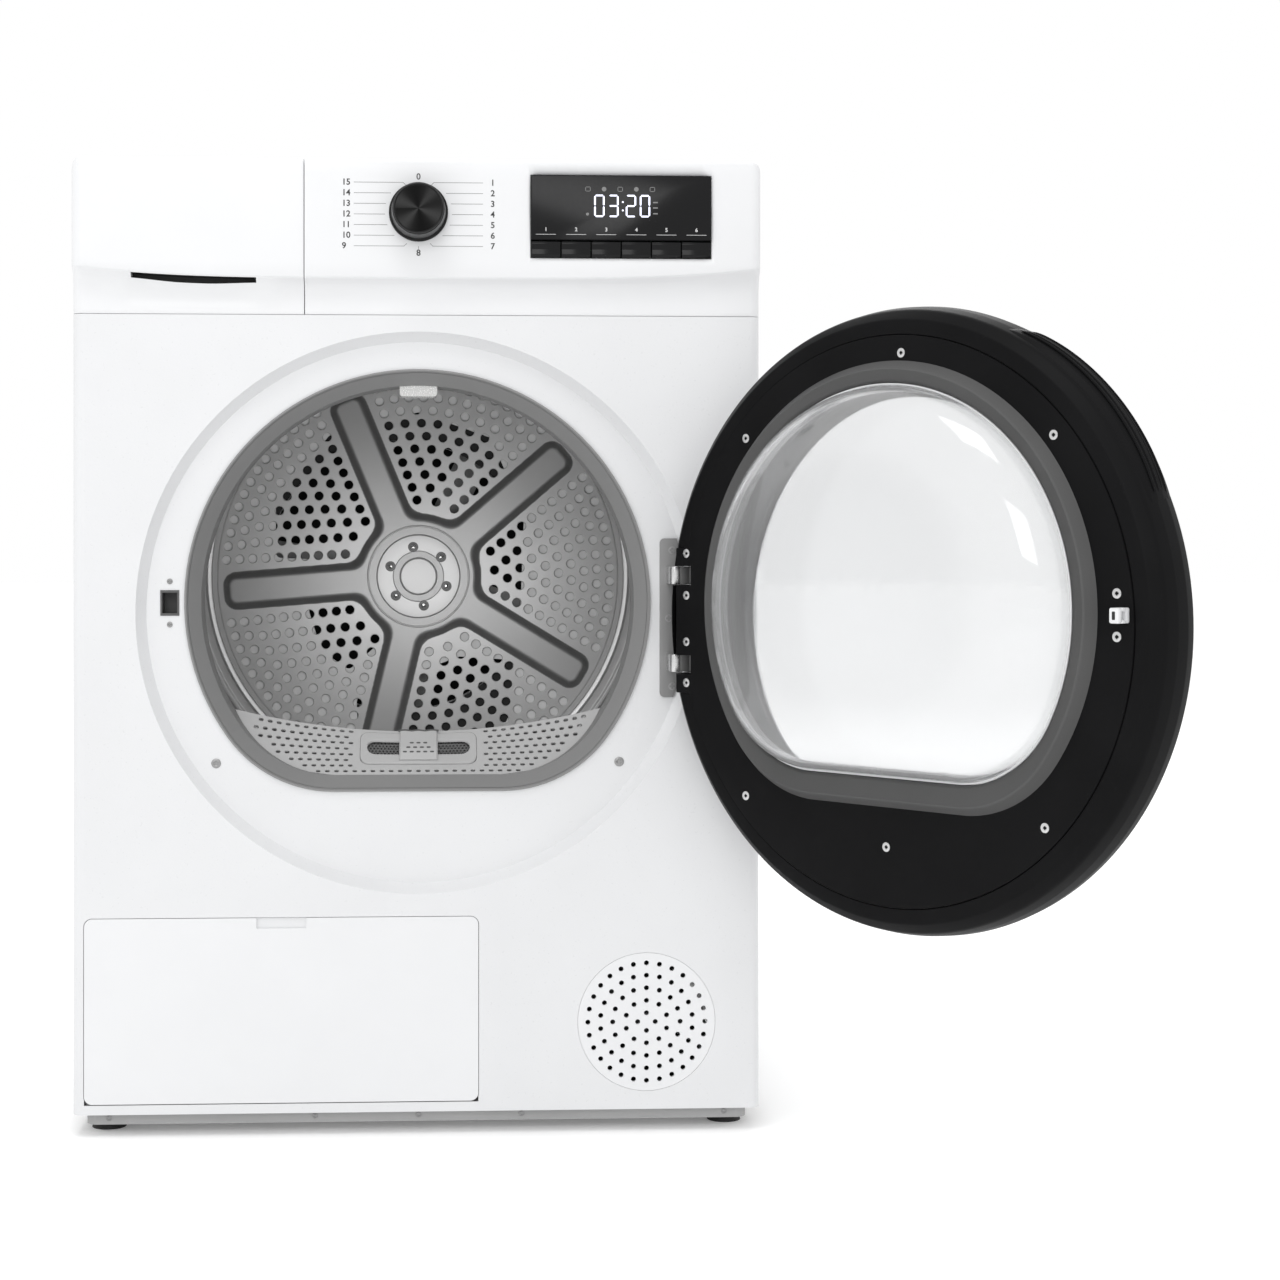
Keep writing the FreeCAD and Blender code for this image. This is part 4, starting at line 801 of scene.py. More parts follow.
mark_x, mark_z = polar(KNOB_RADIUS + 0.7, math.radians(70))
Shape().lathe(rounded([(0.01, -2.6), (1.35, -2.6, 0.7), (1.35, 0), (0.01, 0)], 0, closed=False),
              closed=False, steps=24).piece(
    "knob_pointer", "knob", "hinge_steel", chrome).location = Vector(
        (mark_x, FASCIA_Y - 3.2, KNOB_Z + mark_z)) * MM
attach(bpy.data.objects["knob_pointer"], "knob")


# ------------------------------------------------------------------ display and buttons
pane = Shape()
pane.slab(rounded([(pane_low.x, pane_low.z, 0.4), (pane_high.x, pane_low.z, 0.4),
                   (pane_high.x, pane_high.z, 3.0), (pane_low.x, pane_high.z, 3.0)], 1, steps=6),
          pane_low.y, pane_high.y, edge=0.7)
pane.piece("display_pane", "cabinet", "black_gloss", stands_for="display_window")

GLASS_Y = pane_low.y - 0.03
digits = Shape()
DIGIT_WIDTH, DIGIT_HEIGHT, DIGIT_STROKE = 7.6, 18.0, 1.45
SEGMENTS = {"0": "abcdef", "2": "abged", "3": "abgcd"}


def seven_segment(value, x, z):
    """Digit whose lower left corner is at (x, z)."""
    w, h, half = DIGIT_WIDTH, DIGIT_HEIGHT, DIGIT_HEIGHT / 2
    ends = {"a": ((0, h), (w, h)), "b": ((w, h), (w, half)), "c": ((w, half), (w, 0)),
            "d": ((0, 0), (w, 0)), "e": ((0, 0), (0, half)), "f": ((0, half), (0, h)),
            "g": ((0, half), (w, half))}
    for key in SEGMENTS[value]:
        a, b = (Vector(p) for p in ends[key])
        along = (b - a).normalized()
        side = Vector((-along.y, along.x)) * DIGIT_STROKE / 2
        tip = along * DIGIT_STROKE / 2
        a, b = a + along * 0.28, b - along * 0.28
        corners = [a, a + tip - side, b - tip - side, b, b - tip + side, a + tip + side]
        digits.slab([(x + p.x, z + p.y) for p in corners], GLASS_Y, GLASS_Y + 0.1, edge=0)


DIGITS_LEFT, DIGITS_LOW, DIGIT_PITCH = 152.6, 796.3, 12.2
for place, value in zip((0, 1, 2.25, 3.25), "0320"):
    seven_segment(value, DIGITS_LEFT + place * DIGIT_PITCH, DIGITS_LOW)
colon_x = DIGITS_LEFT + 1.98 * DIGIT_PITCH
for z in (DIGITS_LOW + 5.2, DIGITS_LOW + 12.4):
    digits.slab(circle(0.8, 12, colon_x, z), GLASS_Y, GLASS_Y + 0.1, edge=0)
digits.piece("display_digits", "cabinet", "black_gloss", lit)

icons = Shape()
ICON_Z = 819.8
for number in range(5):                 # plain status marks above the time
    x = 146.5 + number * 14.0
    if number % 2:
        icons.slab(circle(2.0, 20, x, ICON_Z), GLASS_Y, GLASS_Y + 0.1, edge=0)
    else:
        frame_points = [(x - 2, ICON_Z - 1.8), (x + 2, ICON_Z - 1.8), (x + 2, ICON_Z + 1.8),
                        (x - 2, ICON_Z + 1.8), (x - 2, ICON_Z - 1.8)]
        stroke(icons, frame_points, 0.5, GLASS_Y, 0.1)
for z in (DIGITS_LOW + 2.5, DIGITS_LOW + 7.5, DIGITS_LOW + 12.2):
    stroke(icons, [(DIGITS_LEFT + 51, z), (DIGITS_LEFT + 54, z)], 1.1, GLASS_Y, 0.1)
icons.slab(circle(1.3, 16, DIGITS_LEFT - 6.5, DIGITS_LOW + 1.8), GLASS_Y, GLASS_Y + 0.1, edge=0)
icons.piece("display_icons", "cabinet", "black_gloss", print_grey)

button_marks = Shape()
BUTTONS = 6
pitch = (pane_high.x - pane_low.x) / BUTTONS
for number in range(BUTTONS):           # a short generic mark over each key
    x = pane_low.x + pitch * (number + 0.5)
    z = button_high.z + 5.4
    stroke(button_marks, [(x - 8.5, z), (x + 8.5, z)], 0.35, GLASS_Y, 0.1)
    number_mesh(str(number + 1), x, z + 4.2, 4.6, GLASS_Y, "key_number_" + str(number + 1), "cabinet",
                "black_gloss", print_white)
button_marks.piece("display_key_lines", "cabinet", "black_gloss", print_white)
for number in range(1, BUTTONS + 1):
    low, high = node_box("button_" + str(number))
    key = Shape()
    top_y = low.y
    cap_back = top_y + 8.5
    outline = [(top_y + 1.3, high.z), (top_y + 0.4, high.z - 0.9), (top_y, high.z - 2.6),
               (top_y + 0.5, (low.z + high.z) / 2), (top_y + 0.1, low.z + 3.0),
               (top_y + 0.7, low.z + 0.6), (top_y + 1.6, low.z), (cap_back, low.z), (cap_back, high.z)]
    outline = rounded(outline, 2.0, steps=3)
    columns = []
    for inset, shift in ((0.0, 0.9), (0.25, 0.25), (0.9, 0.0)):
        columns.append((low.x + inset, shift))
    columns += [(high.x - 0.9, 0.0), (high.x - 0.25, 0.25), (high.x, 0.9)]
    key.skin([[(x, min(y + shift, cap_back), z) for y, z in outline] for x, shift in columns],
             cap_start=True, cap_end=True)
    key.piece("key_cap_" + str(number), "button_" + str(number), "black_gloss",
              stands_for="button_" + str(number))


# ------------------------------------------------------------------ drum rear wall
HOLE_RADIUS = 4.7
hole_rows = (3, 4, 5, 6, 7, 8, 9, 10, 12, 14)
WALL_Y = DRUM_BACK_Y - 1.2
holes = []
for row, count in enumerate(hole_rows):
    radius = 83.5 + 14.05 * row
    edge = 30.5 + 4.1 * row / 9
    margin = math.asin(edge / radius)
    sector = TAU / SPOKES
    for spoke in range(SPOKES):
        start = SPOKE_START + spoke * sector + margin
        for k in range(count):
            x, z = polar(radius, start + (sector - 2 * margin) * k / (count - 1))
            holes.append(circle(HOLE_RADIUS + 0.7, 20, x, z))
FIELD_RADIUS = 218.5
sheet_mesh = plate_mesh("drum_wall_sheet", circle(FIELD_RADIUS - 0.6, 180), holes, 2.0, 0.7, WALL_Y)
sheet_mesh.transform(Matrix.Translation((0, 0, DRUM_Z)))
as_object("drum_wall_sheet", sheet_mesh, "drum", "drum_steel",
          stands_for="drum_rear_wall", sharp=40)
rim_profile = rounded([
    (FIELD_RADIUS - 1.5, WALL_Y + 0.2), (219.0, WALL_Y + 0.2, 0.8), (221.0, WALL_Y + 3.6, 1.0),
    (223.0, WALL_Y + 3.6, 1.0), (225.4, WALL_Y - 0.4, 1.0), (229.5, WALL_Y - 1.8, 1.2),
    (232.0, WALL_Y + 0.4, 1.2), (239.0, WALL_Y + 0.4, 1.0), (241.5, WALL_Y - 1.6, 1.0),
    (244.5, WALL_Y - 1.6, 1.0), (247.0, WALL_Y + 0.6, 1.0), (DRUM_INNER_RADIUS, WALL_Y + 0.6),
    (DRUM_INNER_RADIUS, DRUM_BACK_Y), (FIELD_RADIUS - 1.5, DRUM_BACK_Y)], 0, steps=3)
Shape().lathe(rim_profile, z=DRUM_Z, steps=256).piece("drum_wall_rim", "drum", "drum_steel")

STAR_HEIGHT = 9.0
HUB_RADIUS = 69.0
HUB_BLEND = 13.0
TIP_RADIUS = 15.0
SPOKE_HALF = 21.0
SPOKE_END = 213.0
STAR_FLANK = 8.5


def smooth_min(a, b, soft):
    h = max(soft - abs(a - b), 0.0) / soft
    return min(a, b) - h * h * soft / 4


def star_distance(x, z):
    """Distance to the star's outline, negative inside it."""
    angle = math.atan2(z, x)
    sector = TAU / SPOKES
    spoke = round((angle - SPOKE_START) / sector)
    best = 1e9
    for turn in (spoke - 1, spoke, spoke + 1):
        a = SPOKE_START + turn * sector
        along = x * math.cos(a) + z * math.sin(a)
        across = abs(-x * math.sin(a) + z * math.cos(a))
        past = max(along - (SPOKE_END - TIP_RADIUS), 0.0)
        side = across - (SPOKE_HALF - TIP_RADIUS)
        arm = math.hypot(past, max(side, 0.0)) - TIP_RADIUS if past > 0 else side - TIP_RADIUS
        if along < 0:
            arm = math.hypot(along, across) - SPOKE_HALF
        best = arm if best > 1e8 else smooth_min(best, arm, 10.0)
    return smooth_min(best, math.hypot(x, z) - HUB_RADIUS, HUB_BLEND)


def pressed_star():
    """Grid over the star's outline, lifted from the sheet towards the drum's inside."""
    step = 1.6
    size = int(math.ceil((SPOKE_END + 4) / step))
    index, points, faces = {}, [], []
    field = {}
    for i in range(-size, size + 1):
        for k in range(-size, size + 1):
            x, z = i * step, k * step
            if math.hypot(x, z) < SPOKE_END + 4:
                field[i, k] = star_distance(x, z)

    def vertex(i, k):
        if (i, k) not in index:
            d = field[i, k]
            lift = STAR_HEIGHT * (1 - smooth(-STAR_FLANK, 0.0, d)) - 0.5 * smooth(0.0, 1.5, d)
            index[i, k] = len(points)
            points.append((i * step, WALL_Y - lift, DRUM_Z + k * step))
        return index[i, k]

    for (i, k), d in field.items():
        square = [(i, k), (i + 1, k), (i + 1, k + 1), (i, k + 1)]
        if all(s in field for s in square) and min(field[s] for s in square) < 0.8:
            faces.append(tuple(vertex(*s) for s in square))
    return Shape().add(points, faces)


star = pressed_star().piece("drum_wall_star", "drum", "drum_steel", star_finish, sharp=60)
# painted shade mask: 1 on the star's sloped flanks, where the darker colour goes
flank = star.data.attributes.new("flank", "FLOAT", "POINT")
for value, vertex in zip(flank.data, star.data.vertices):
    d = star_distance(vertex.co.x / MM, vertex.co.z / MM - DRUM_Z)
    value.value = smooth(-STAR_FLANK - 1.5, -STAR_FLANK + 2.0, d) * (1 - smooth(-1.0, 1.0, d))
hub_face = WALL_Y - STAR_HEIGHT
hub_profile = rounded([
    (0.01, hub_face - 1.6), (19.0, hub_face - 1.6, 2.0), (20.4, hub_face - 0.6, 0.8),
    (21.4, hub_face + 1.2, 0.6), (26.5, hub_face + 1.2, 0.6), (27.6, hub_face - 1.2, 0.8),
    (44.6, hub_face - 1.2, 1.0), (46.6, hub_face + 0.6, 0.8), (52.8, hub_face + 0.6, 0.8),
    (54.8, hub_face - 0.6, 0.8), (57.0, hub_face + 0.4)], 0, closed=False)
Shape().lathe(hub_profile, z=DRUM_Z, closed=False, steps=128).piece(
    "drum_hub_plate", "drum", "drum_steel")
# painted shade: thin dark metal rings laid in the bottom of the hub's grooves
hub_grooves = Shape()
for low, high in ((21.3, 26.6), (46.2, 53.2)):
    hub_grooves.lathe([(low, hub_face + 0.9), (high, hub_face + 0.9), (high, hub_face + 0.4),
                       (low, hub_face + 0.4)], z=DRUM_Z, steps=96)
hub_grooves.piece("drum_hub_grooves", "drum", "drum_steel", hub_groove_shade_and_washer_grey)
bolts, washers = Shape(), Shape()
for k in range(6):
    x, z = polar(32.4, math.radians(40.4 + 60 * k))
    washers.lathe(rounded([(0.01, hub_face - 1.6), (5.6, hub_face - 1.6, 0.3), (5.6, hub_face),
                           (0.01, hub_face)], 0, closed=False), x=x, z=DRUM_Z + z, closed=False, steps=32)
    bolts.lathe(rounded([(0.01, hub_face - 3.4), (2.5, hub_face - 3.0, 0.6), (3.0, hub_face - 1.4),
                         (0.01, hub_face - 1.4)], 0, closed=False), x=x, z=DRUM_Z + z, closed=False, steps=24)
washers.piece("drum_hub_washers", "drum", "drum_steel", hub_groove_shade_and_washer_grey)
bolts.piece("drum_hub_bolts", "drum", "drum_steel", chrome)


# pale air guide behind the rear wall, and dark sheets of painted shade behind its openings: a ring round the
# inlet and a disc in the duct
INLET_OPENINGS = (
    [(-156, 20), (-156, 82), (-98, 154), (0, 180), (80, 152), (116, 66), (112, -40), (40, -40), (-60, 16)],
    [(-122, -32), (-106, -82), (-76, -103), (-32, -64), (-52, -32)],
    [(-68, -134), (-10, -108), (45, -88), (104, -92), (104, -144), (88, -178), (-66, -186)])
GUIDE_RADIUS = 243.5
openings = [[(x, DRUM_Z + z) for x, z in rounded(loop, 6)] for loop in INLET_OPENINGS]
guide_disc = circle(GUIDE_RADIUS, 120, 0, DRUM_Z)
as_object("air_guide", plate_mesh("air_guide", guide_disc, openings, 1.2, 0.3, DRUM_BACK_Y + 1.8),
          "cabinet", "light_grey_plastic", guide_white)
INLET_RADIUS = 149                      # round inlet in the painted-shade ring, left of the drum's axis
INLET_SHIFT = -20
SHADE_DISC_RADIUS = 225
inlet = circle(INLET_RADIUS, 96, INLET_SHIFT, DRUM_Z)
# painted shade: black ring behind the air guide, round the inlet
as_object("inlet_shade_ring", plate_mesh("inlet_shade_ring", guide_disc, [inlet], 1.0, 0.2, DRUM_BACK_Y + 4.0),
          "cabinet", "black_rubber")
duct_back = node_box("rear_duct_cover")[1].y - 1.6
# painted shade: black disc in the duct behind the inlet
Shape().slab(circle(SHADE_DISC_RADIUS, 96), duct_back - 3.0, duct_back, edge=0.8, z=DRUM_Z).piece(
    "duct_shade_disc", "cabinet", "black_rubber")


# ------------------------------------------------------------------ outlet grille and lint filter
floor_z = MOUTH_Z - MOUTH[1]
slope_front, slope_back, slope_rise = RECESS_Y + 16.0, RECESS_Y + 52.0, 35.0
slope_length = math.hypot(slope_back - slope_front, slope_rise)


def slot_loop(x, v, half_length, half_width):
    """Short round-ended slot centred at (x, v)."""
    reach = half_length - half_width
    points = []
    for centre, start in ((reach, -math.pi / 2), (-reach, math.pi / 2)):
        for k in range(5):
            a = start + math.pi * k / 4
            points.append((x + centre + half_width * math.cos(a), v + half_width * math.sin(a)))
    return points


def tunnel_half_width(z):
    """Half the tunnel's width at height z."""
    radius, drop, corner = MOUTH
    side = math.sqrt((radius - corner) ** 2 - (drop - corner) ** 2)
    centre = MOUTH_Z + corner - drop
    low = max(z - floor_z, 0.0)
    if z < centre:
        return side + math.sqrt(max(corner ** 2 - (corner - low) ** 2, 0.0))
    return math.sqrt(radius ** 2 - (z - MOUTH_Z) ** 2)


def slope_point(x, v, lift=0.0):
    """Place on the sloping cover: v runs up the slope; its top edge rises to both sides."""
    share = v / slope_length
    hollow = 14.0 * (x / 135.0) ** 2 * share ** 1.5
    y = slope_front + (slope_back - slope_front) * share + lift * 0.7
    z = floor_z + slope_rise * share + hollow - lift * 0.7
    return y, z


def bend(mesh, place):
    """Moves a flat plate's vertices onto the slope; place(x, lift, v) gives their y and z."""
    for vertex in mesh.vertices:
        vertex.co = (vertex.co.x, *place(*vertex.co))


cover_outline = []
for side in (1, -1):
    steps = [k / 12 for k in range(13)]
    for t in (steps if side > 0 else reversed(steps)):
        v = slope_length * t
        x = 110.0
        for _ in range(6):              # settle where the slope meets the tunnel's wall
            x = tunnel_half_width(slope_point(x, v)[1]) - 0.4
        cover_outline.append((side * x, v))
bottom_reach, top_reach = cover_outline[0][0], cover_outline[12][0]
top_edge = [(x, slope_length) for x in reversed(between(-top_reach + 8, top_reach - 8, 6))]
bottom_edge = [(x, 0.0) for x in between(-bottom_reach + 8, bottom_reach - 8, 12)]
cover_outline = cover_outline[:13] + top_edge + cover_outline[13:] + bottom_edge
slots, FILTER_HALF = [], 52.0
for row in range(8):
    v = 4.4 + row * 6.1
    for k in range(-18, 19):
        x = (k + 0.5 * (row % 2)) * 8.0
        limit = tunnel_half_width(slope_point(x, v)[1]) - 7
        if abs(x) < limit and (row == 0 or abs(x) > FILTER_HALF + 6):
            slots.append(slot_loop(x, v, 2.5, 1.5))
filter_gap = rounded_box(-FILTER_HALF, FILTER_HALF, 11, slope_length - 2.5, 8)
cover_mesh = plate_mesh("outlet_cover", cover_outline, slots + [filter_gap], 2.4, 0.35, 0)
slope_cuts = [(0, x) for x in between(-156, 156, 6)] + [(2, v) for v in between(3, slope_length - 3, 6)]
bend(sliced(cover_mesh, slope_cuts), lambda x, lift, v: slope_point(x, max(0.0, min(v, slope_length)), lift))
as_object("outlet_cover", cover_mesh, "cabinet", "light_grey_plastic", cover_grey,
          stands_for="outlet_grille", sharp=40)
back_wall = Shape()
back_rows = []
for x in between(-143, 143, 11):
    y, z = slope_point(x, slope_length)
    back_rows.append([(x, y + 0.2, z - 3.4), (x, y + 1.0, z - 2.8), (x, y + 1.8, z - 3.4),
                      (x, y + 1.8, floor_z + 0.5)])
back_wall.sheet(back_rows)
back_wall.piece("outlet_cover_back", "cabinet", "light_grey_plastic", cover_grey)

frame_mesh = plate_mesh("filter_frame", rounded_box(-51, 51, 14, slope_length - 3.5, 7),
                        [rounded([(-46, 22.5, 8), (-16, 22.5, 1), (-16, 40, 1), (-46, 40, 8)], 6),
                         rounded([(16, 22.5, 1), (46, 22.5, 8), (46, 40, 8), (16, 40, 1)], 6)], 2.6, 0.5, 0)


def straight_down(x, lift, v):
    """Keeps the frame's thickness upright, so that it clears the cover as it lifts."""
    y, z = slope_point(x, v)
    return y - 0.2, z + 0.3 - lift


bend(sliced(frame_mesh, slope_cuts), straight_down)
as_object("filter_frame", frame_mesh, "filter", "light_grey_plastic", cover_grey,
          stands_for="lint_filter", sharp=40)
mesh_holes = [circle(1.15, 6, x + (row % 2) * 1.6, 23.5 + 2.9 * row)
              for row in range(6) for x in [s * c for s in (-1, 1) for c in between(18.5, 44, 3.2)]]
mesh_mesh = plate_mesh("filter_mesh", rounded_box(-48, 48, 21, 41.5, 3),
                       mesh_holes, 0.8, 0.1, 0)
bend(mesh_mesh, lambda x, lift, v: slope_point(x, v, lift + 3.4))
as_object("filter_mesh", mesh_mesh, "filter", "dark_grey_plastic", sharp=40)
handle = Shape()
handle_rows = []
for v, lift in ((16.0, 1.0), (16.0, -1.6), (17.0, -2.2), (32.0, -2.2), (slope_length - 1.6, -2.6),
                (slope_length - 0.4, -1.6), (slope_length - 0.4, 1.0)):
    handle_rows.append([(x, *slope_point(x, v, lift if abs(x) < 16.5 else max(lift, -1.2)))
                        for x in (-17.0, -16.6, -16.0, -8, 0, 8, 16.0, 16.6, 17.0)])
handle.sheet(handle_rows)
handle.piece("filter_handle", "filter", "light_grey_plastic", cover_grey)
dimples = Shape()
for row, count in ((0, 5), (1, 4), (2, 3)):
    for k in range(count):
        x = (k - (count - 1) / 2) * 6.0
        v = 24.5 + row * 5.2
        loop = [(px, *slope_point(px, pv, -2.35)) for px, pv in slot_loop(x, v, 1.9, 0.9)]
        under = [(px, *slope_point(px, pv, -2.15)) for px, pv in slot_loop(x, v, 1.9, 0.9)]
        dimples.skin([loop, under], cap_start=True, cap_end=True)
notch_line = []
for k in range(7):
    notch_line.append((-18.0 + 6.0 * k, slope_length - 1.6 + (1.0 if k % 2 else 0.0)))
for (ax, av), (bx, bv) in zip(notch_line, notch_line[1:]):
    loop = [(px, *slope_point(px, pv, lift)) for px, pv, lift in
            ((ax, av - 0.8, -2.9), (bx, bv - 0.8, -2.9), (bx, bv + 0.8, -2.9), (ax, av + 0.8, -2.9))]
    under = [(x, y + 0.5, z - 0.5) for x, y, z in loop]
    dimples.skin([loop, under], cap_start=True, cap_end=True)
dimples.piece("filter_grip_marks", "filter", "dark_grey_plastic")


# ------------------------------------------------------------------ screws
def screw(shape, x, y, z, radius, rise=1.4, recess=1.1):
    """Round head with a cross recess, facing -Y, its seat at y."""
    bar = radius * 0.19
    reach = radius * 0.62
    points, faces = [], []
    stops_list = sorted({-1.0, 1.0, 0.0, -bar / radius, bar / radius, -reach / radius, reach / radius,
                         -bar / radius * 1.25, bar / radius * 1.25, -0.35, 0.35, -0.8, 0.8,
                         -reach / radius * 1.06, reach / radius * 1.06})
    n = len(stops_list)
    for a in stops_list:
        for b in stops_list:
            px, pz = a * math.sqrt(1 - b * b / 2), b * math.sqrt(1 - a * a / 2)
            r = math.hypot(px, pz)
            arm = max(abs(a), abs(b)) < reach / radius - 1e-6 and min(abs(a), abs(b)) <= bar / radius + 1e-6
            lift = rise * math.sqrt(max(0.0, 1 - 0.82 * r * r))
            depth = recess if arm else 0.0
            points.append((x + radius * px, y - lift + depth, z + radius * pz))
    for i in range(n - 1):
        for k in range(n - 1):
            faces.append((i * n + k, i * n + k + 1, (i + 1) * n + k + 1, (i + 1) * n + k))
    shape.add(points, faces)
    rim = circle(radius, 40, x, z)
    shape.skin([[(px, height, pz) for px, pz in rim] for height in (y - rise * math.sqrt(0.18), y + 0.3)])


SCREW_SPOTS = [(side * 175.5, RECESS_Y, 322.0, 4.2) for side in (-1, 1)]
SCREW_SPOTS += [(LATCH_X, RECESS_Y, z, 2.5) for z in (442.7, 480.1)]
HINGE_SCREWS = [(222.0, 507.0), (222.0, 388.0), (219.0, 447.6)]
base_front = node_box("base_tray")[0].y
front_screws = Shape()
for x, y, z, radius in SCREW_SPOTS:
    screw(front_screws, x, y, z, radius, rise=1.0, recess=0.8)
for x, z in HINGE_SCREWS:
    screw(front_screws, x, RECESS_Y - 2.2, z, 4.2, rise=0.45, recess=0.4)
for x in (-268, -90, 0, 90, 268):
    screw(front_screws, x, base_front, 14.5, 2.6, rise=0.9, recess=0.6)
front_screws.piece("front_screw_heads", "cabinet", "screw_steel", head_grey,
                   stands_for="cabinet_screws", recalculate=False)
back_screws = Shape()
rear_y = node_box("rear_panel")[1].y
for side in (-1, 1):
    for z in (60, 210, 360, 510, 660, 800):
        screw(back_screws, side * 285, -rear_y, z, 4.0)
    screw(back_screws, side * 250, -node_box("worktop")[1].y, 834, 4.0)
back_screws.points = [(x, -y, z) for x, y, z in back_screws.points]
back_screws.piece("back_screw_heads", "cabinet", "screw_steel")


# ------------------------------------------------------------------ hinge
hinge = Shape()
PLATE_EDGE_RADIUS = 235.0             # round edge of the hinge plate, in line with the recess
side_points = []
for k in range(25):
    z = hinge_low.z + (hinge_high.z - hinge_low.z) * k / 24
    side_points.append((math.sqrt(PLATE_EDGE_RADIUS ** 2 - (z - RECESS_Z) ** 2), z))
corner = [polar(4.0, math.radians(a)) for a in (180, 202.5, 225, 247.5, 270)]
outline = ([(215.0 + px, hinge_low.z + 4 + pz) for px, pz in corner] + side_points
           + [(215.0 + px, hinge_high.z - 4 - pz) for px, pz in reversed(corner)])
hinge.slab(outline, RECESS_Y - 2.5, RECESS_Y, edge=0.5)
hinge.piece("hinge_plate", "cabinet", "hinge_steel", paints["bezel_grey"], stands_for="hinge_bracket")
ARMS_Z = (HINGE.z - 37.8, HINGE.z + 37.9)
arms, knuckles = Shape(), Shape()
arm_path = rounded([(217.0, RECESS_Y - 1.0), (217.0, HINGE.y - 4.0, 4.0), (225.5, HINGE.y - 4.0, 2.0),
                    (225.5, RECESS_Y - 1.0)], 0, steps=5)
for z in ARMS_Z:
    low, high = z - 7.5, z + 7.5
    loops = []
    for height, inset in ((low, 0.6), (low + 0.18, 0.18), (low + 0.6, 0.0), (high - 0.6, 0.0),
                          (high - 0.18, 0.18), (high, 0.6)):
        centre_x = 221.5
        loops.append([(x + (0.6 if x < centre_x else -0.6) * (inset / 0.6) * 0.6, y + inset * 0.4, height)
                      for x, y in arm_path])
    arms.skin(loops, cap_start=True, cap_end=True)
    knuckles.column([(height, circle(radius, 40, HINGE.x, HINGE.y)) for height, radius in
                     ((low, 6.7), (low + 0.8, 7.5), (high - 0.8, 7.5), (high, 6.7))])
    leaf = rounded([(225.0, HINGE.y - 6.8), (HINGE.x, HINGE.y - 6.8), (HINGE.x, HINGE.y + 5.0),
                    (225.0, HINGE.y + 5.0)], 1.0)
    knuckles.column([(low + 0.5, leaf), (high - 0.5, leaf)])
arms.piece("hinge_arms", "cabinet", "hinge_steel")
knuckles.piece("hinge_knuckles", "cabinet", "hinge_steel", knuckle_grey)


# ------------------------------------------------------------------ door, laid out closed
def d_loops(family, profile):
    """Loops round the opening's D outline; profile holds (inset, y)."""
    return [[(x, y, MOUTH_Z + z) for x, z in d_outline(*family, inset=inset)] for inset, y in profile]


def arm_pocket_shapes():
    """Room in the door for the fixed hinge arms."""
    shapes = []
    for z in ARMS_Z:
        low, high = z - 8.3, z + 8.3
        hub = circle(22, 48, HINGE.x, HINGE.y)
        shapes.append(Shape().column([(low, hub), (high, hub)]))
        turn = math.radians(47)
        c, s = math.cos(turn), math.sin(turn)
        fan = []
        for k in range(13):
            a = -math.pi / 2 + math.pi * k / 12
            px, py = max(38 * math.cos(a), -11), 38 * math.sin(a)
            fan.append((px, py))
        fan = [(-11.0, -36.3)] + fan + [(-11.0, 36.3)]
        loop = [(HINGE.x + px * c - py * s, HINGE.y + px * s + py * c) for px, py in fan]
        shapes.append(Shape().column([(low + 0.01, loop), (high - 0.01, loop)]))
    return shapes


LOBE_LOW, LOBE_HIGH = ARMS_Z[0] - 24, ARMS_Z[1] + 24
lobe_cut = block(204.5, HINGE.x + 0.5, HINGE.y - 9.5, COVER_Y + 8, LOBE_LOW - 0.4, LOBE_HIGH + 0.4)
ring_profile = rounded([
    (223.4, -294.0, 0.6), (235, -295.4, 4), (243.2, -303, 8), (246, -314, 8), (DOOR_RADIUS, -325, 8),
    (245.5, -334.5, 6), (240, -341.0, 7), (228, -345.2, 12), (WINDOW_RADIUS, -347, 0.8),
    (WINDOW_RADIUS, -344, 0.6), (227, -342), (237.5, -337.5), (242.5, -332), (244, -325),
    (243, -314.5), (240.5, -304.5), (234.5, -299), (223.4, -297, 0.5)], 3, steps=4)
ring = Shape().lathe(ring_profile, z=DOOR_Z, steps=224).piece(
    "door_ring_moulding", "door", "black_plastic", stands_for="door_ring")
carved(ring, [lobe_cut])

grip = Shape()
GRIP_START, GRIP_END = math.radians(114), math.radians(160)
grip_section = rounded([(242.5, -304.5), (248.0, -309), (250.6, -315, 2), (251.4, -322, 4), (250.4, -329, 3),
                        (248.0, -334), (242.0, -338.5)], 3, closed=False, steps=4)
rows = []
for k in range(41):
    t = k / 40
    a = GRIP_START + (GRIP_END - GRIP_START) * t
    fade = math.sin(math.pi * min(1, max(0, t))) ** 0.35
    row = []
    for r, y in grip_section:
        r = 242.5 + (r - 242.5) * fade
        row.append((r * math.cos(a), y, DOOR_Z + r * math.sin(a)))
    rows.append(row)
grip.sheet(rows)
for number, y in enumerate((-313.0, -318.0, -323.0, -328.0)):
    loops = []
    for k in range(49):
        t = k / 48
        a = GRIP_START + math.radians(3) + (GRIP_END - GRIP_START - math.radians(6)) * t
        fade = min(1.0, math.sin(math.pi * t) * 6) ** 0.5
        body_fade = math.sin(math.pi * (3 + 40 * t) / 46) ** 0.35
        base = 242.5 + (250.6 - 242.5) * body_fade
        size = 1.0 * fade + 0.05
        loops.append([((base + size * math.cos(b)) * math.cos(a), y + size * math.sin(b),
                       DOOR_Z + (base + size * math.cos(b)) * math.sin(a))
                      for b in (TAU * j / 8 for j in range(8))])
    grip.skin(loops, cap_start=True, cap_end=True)
grip.piece("door_grip", "door", "black_plastic")

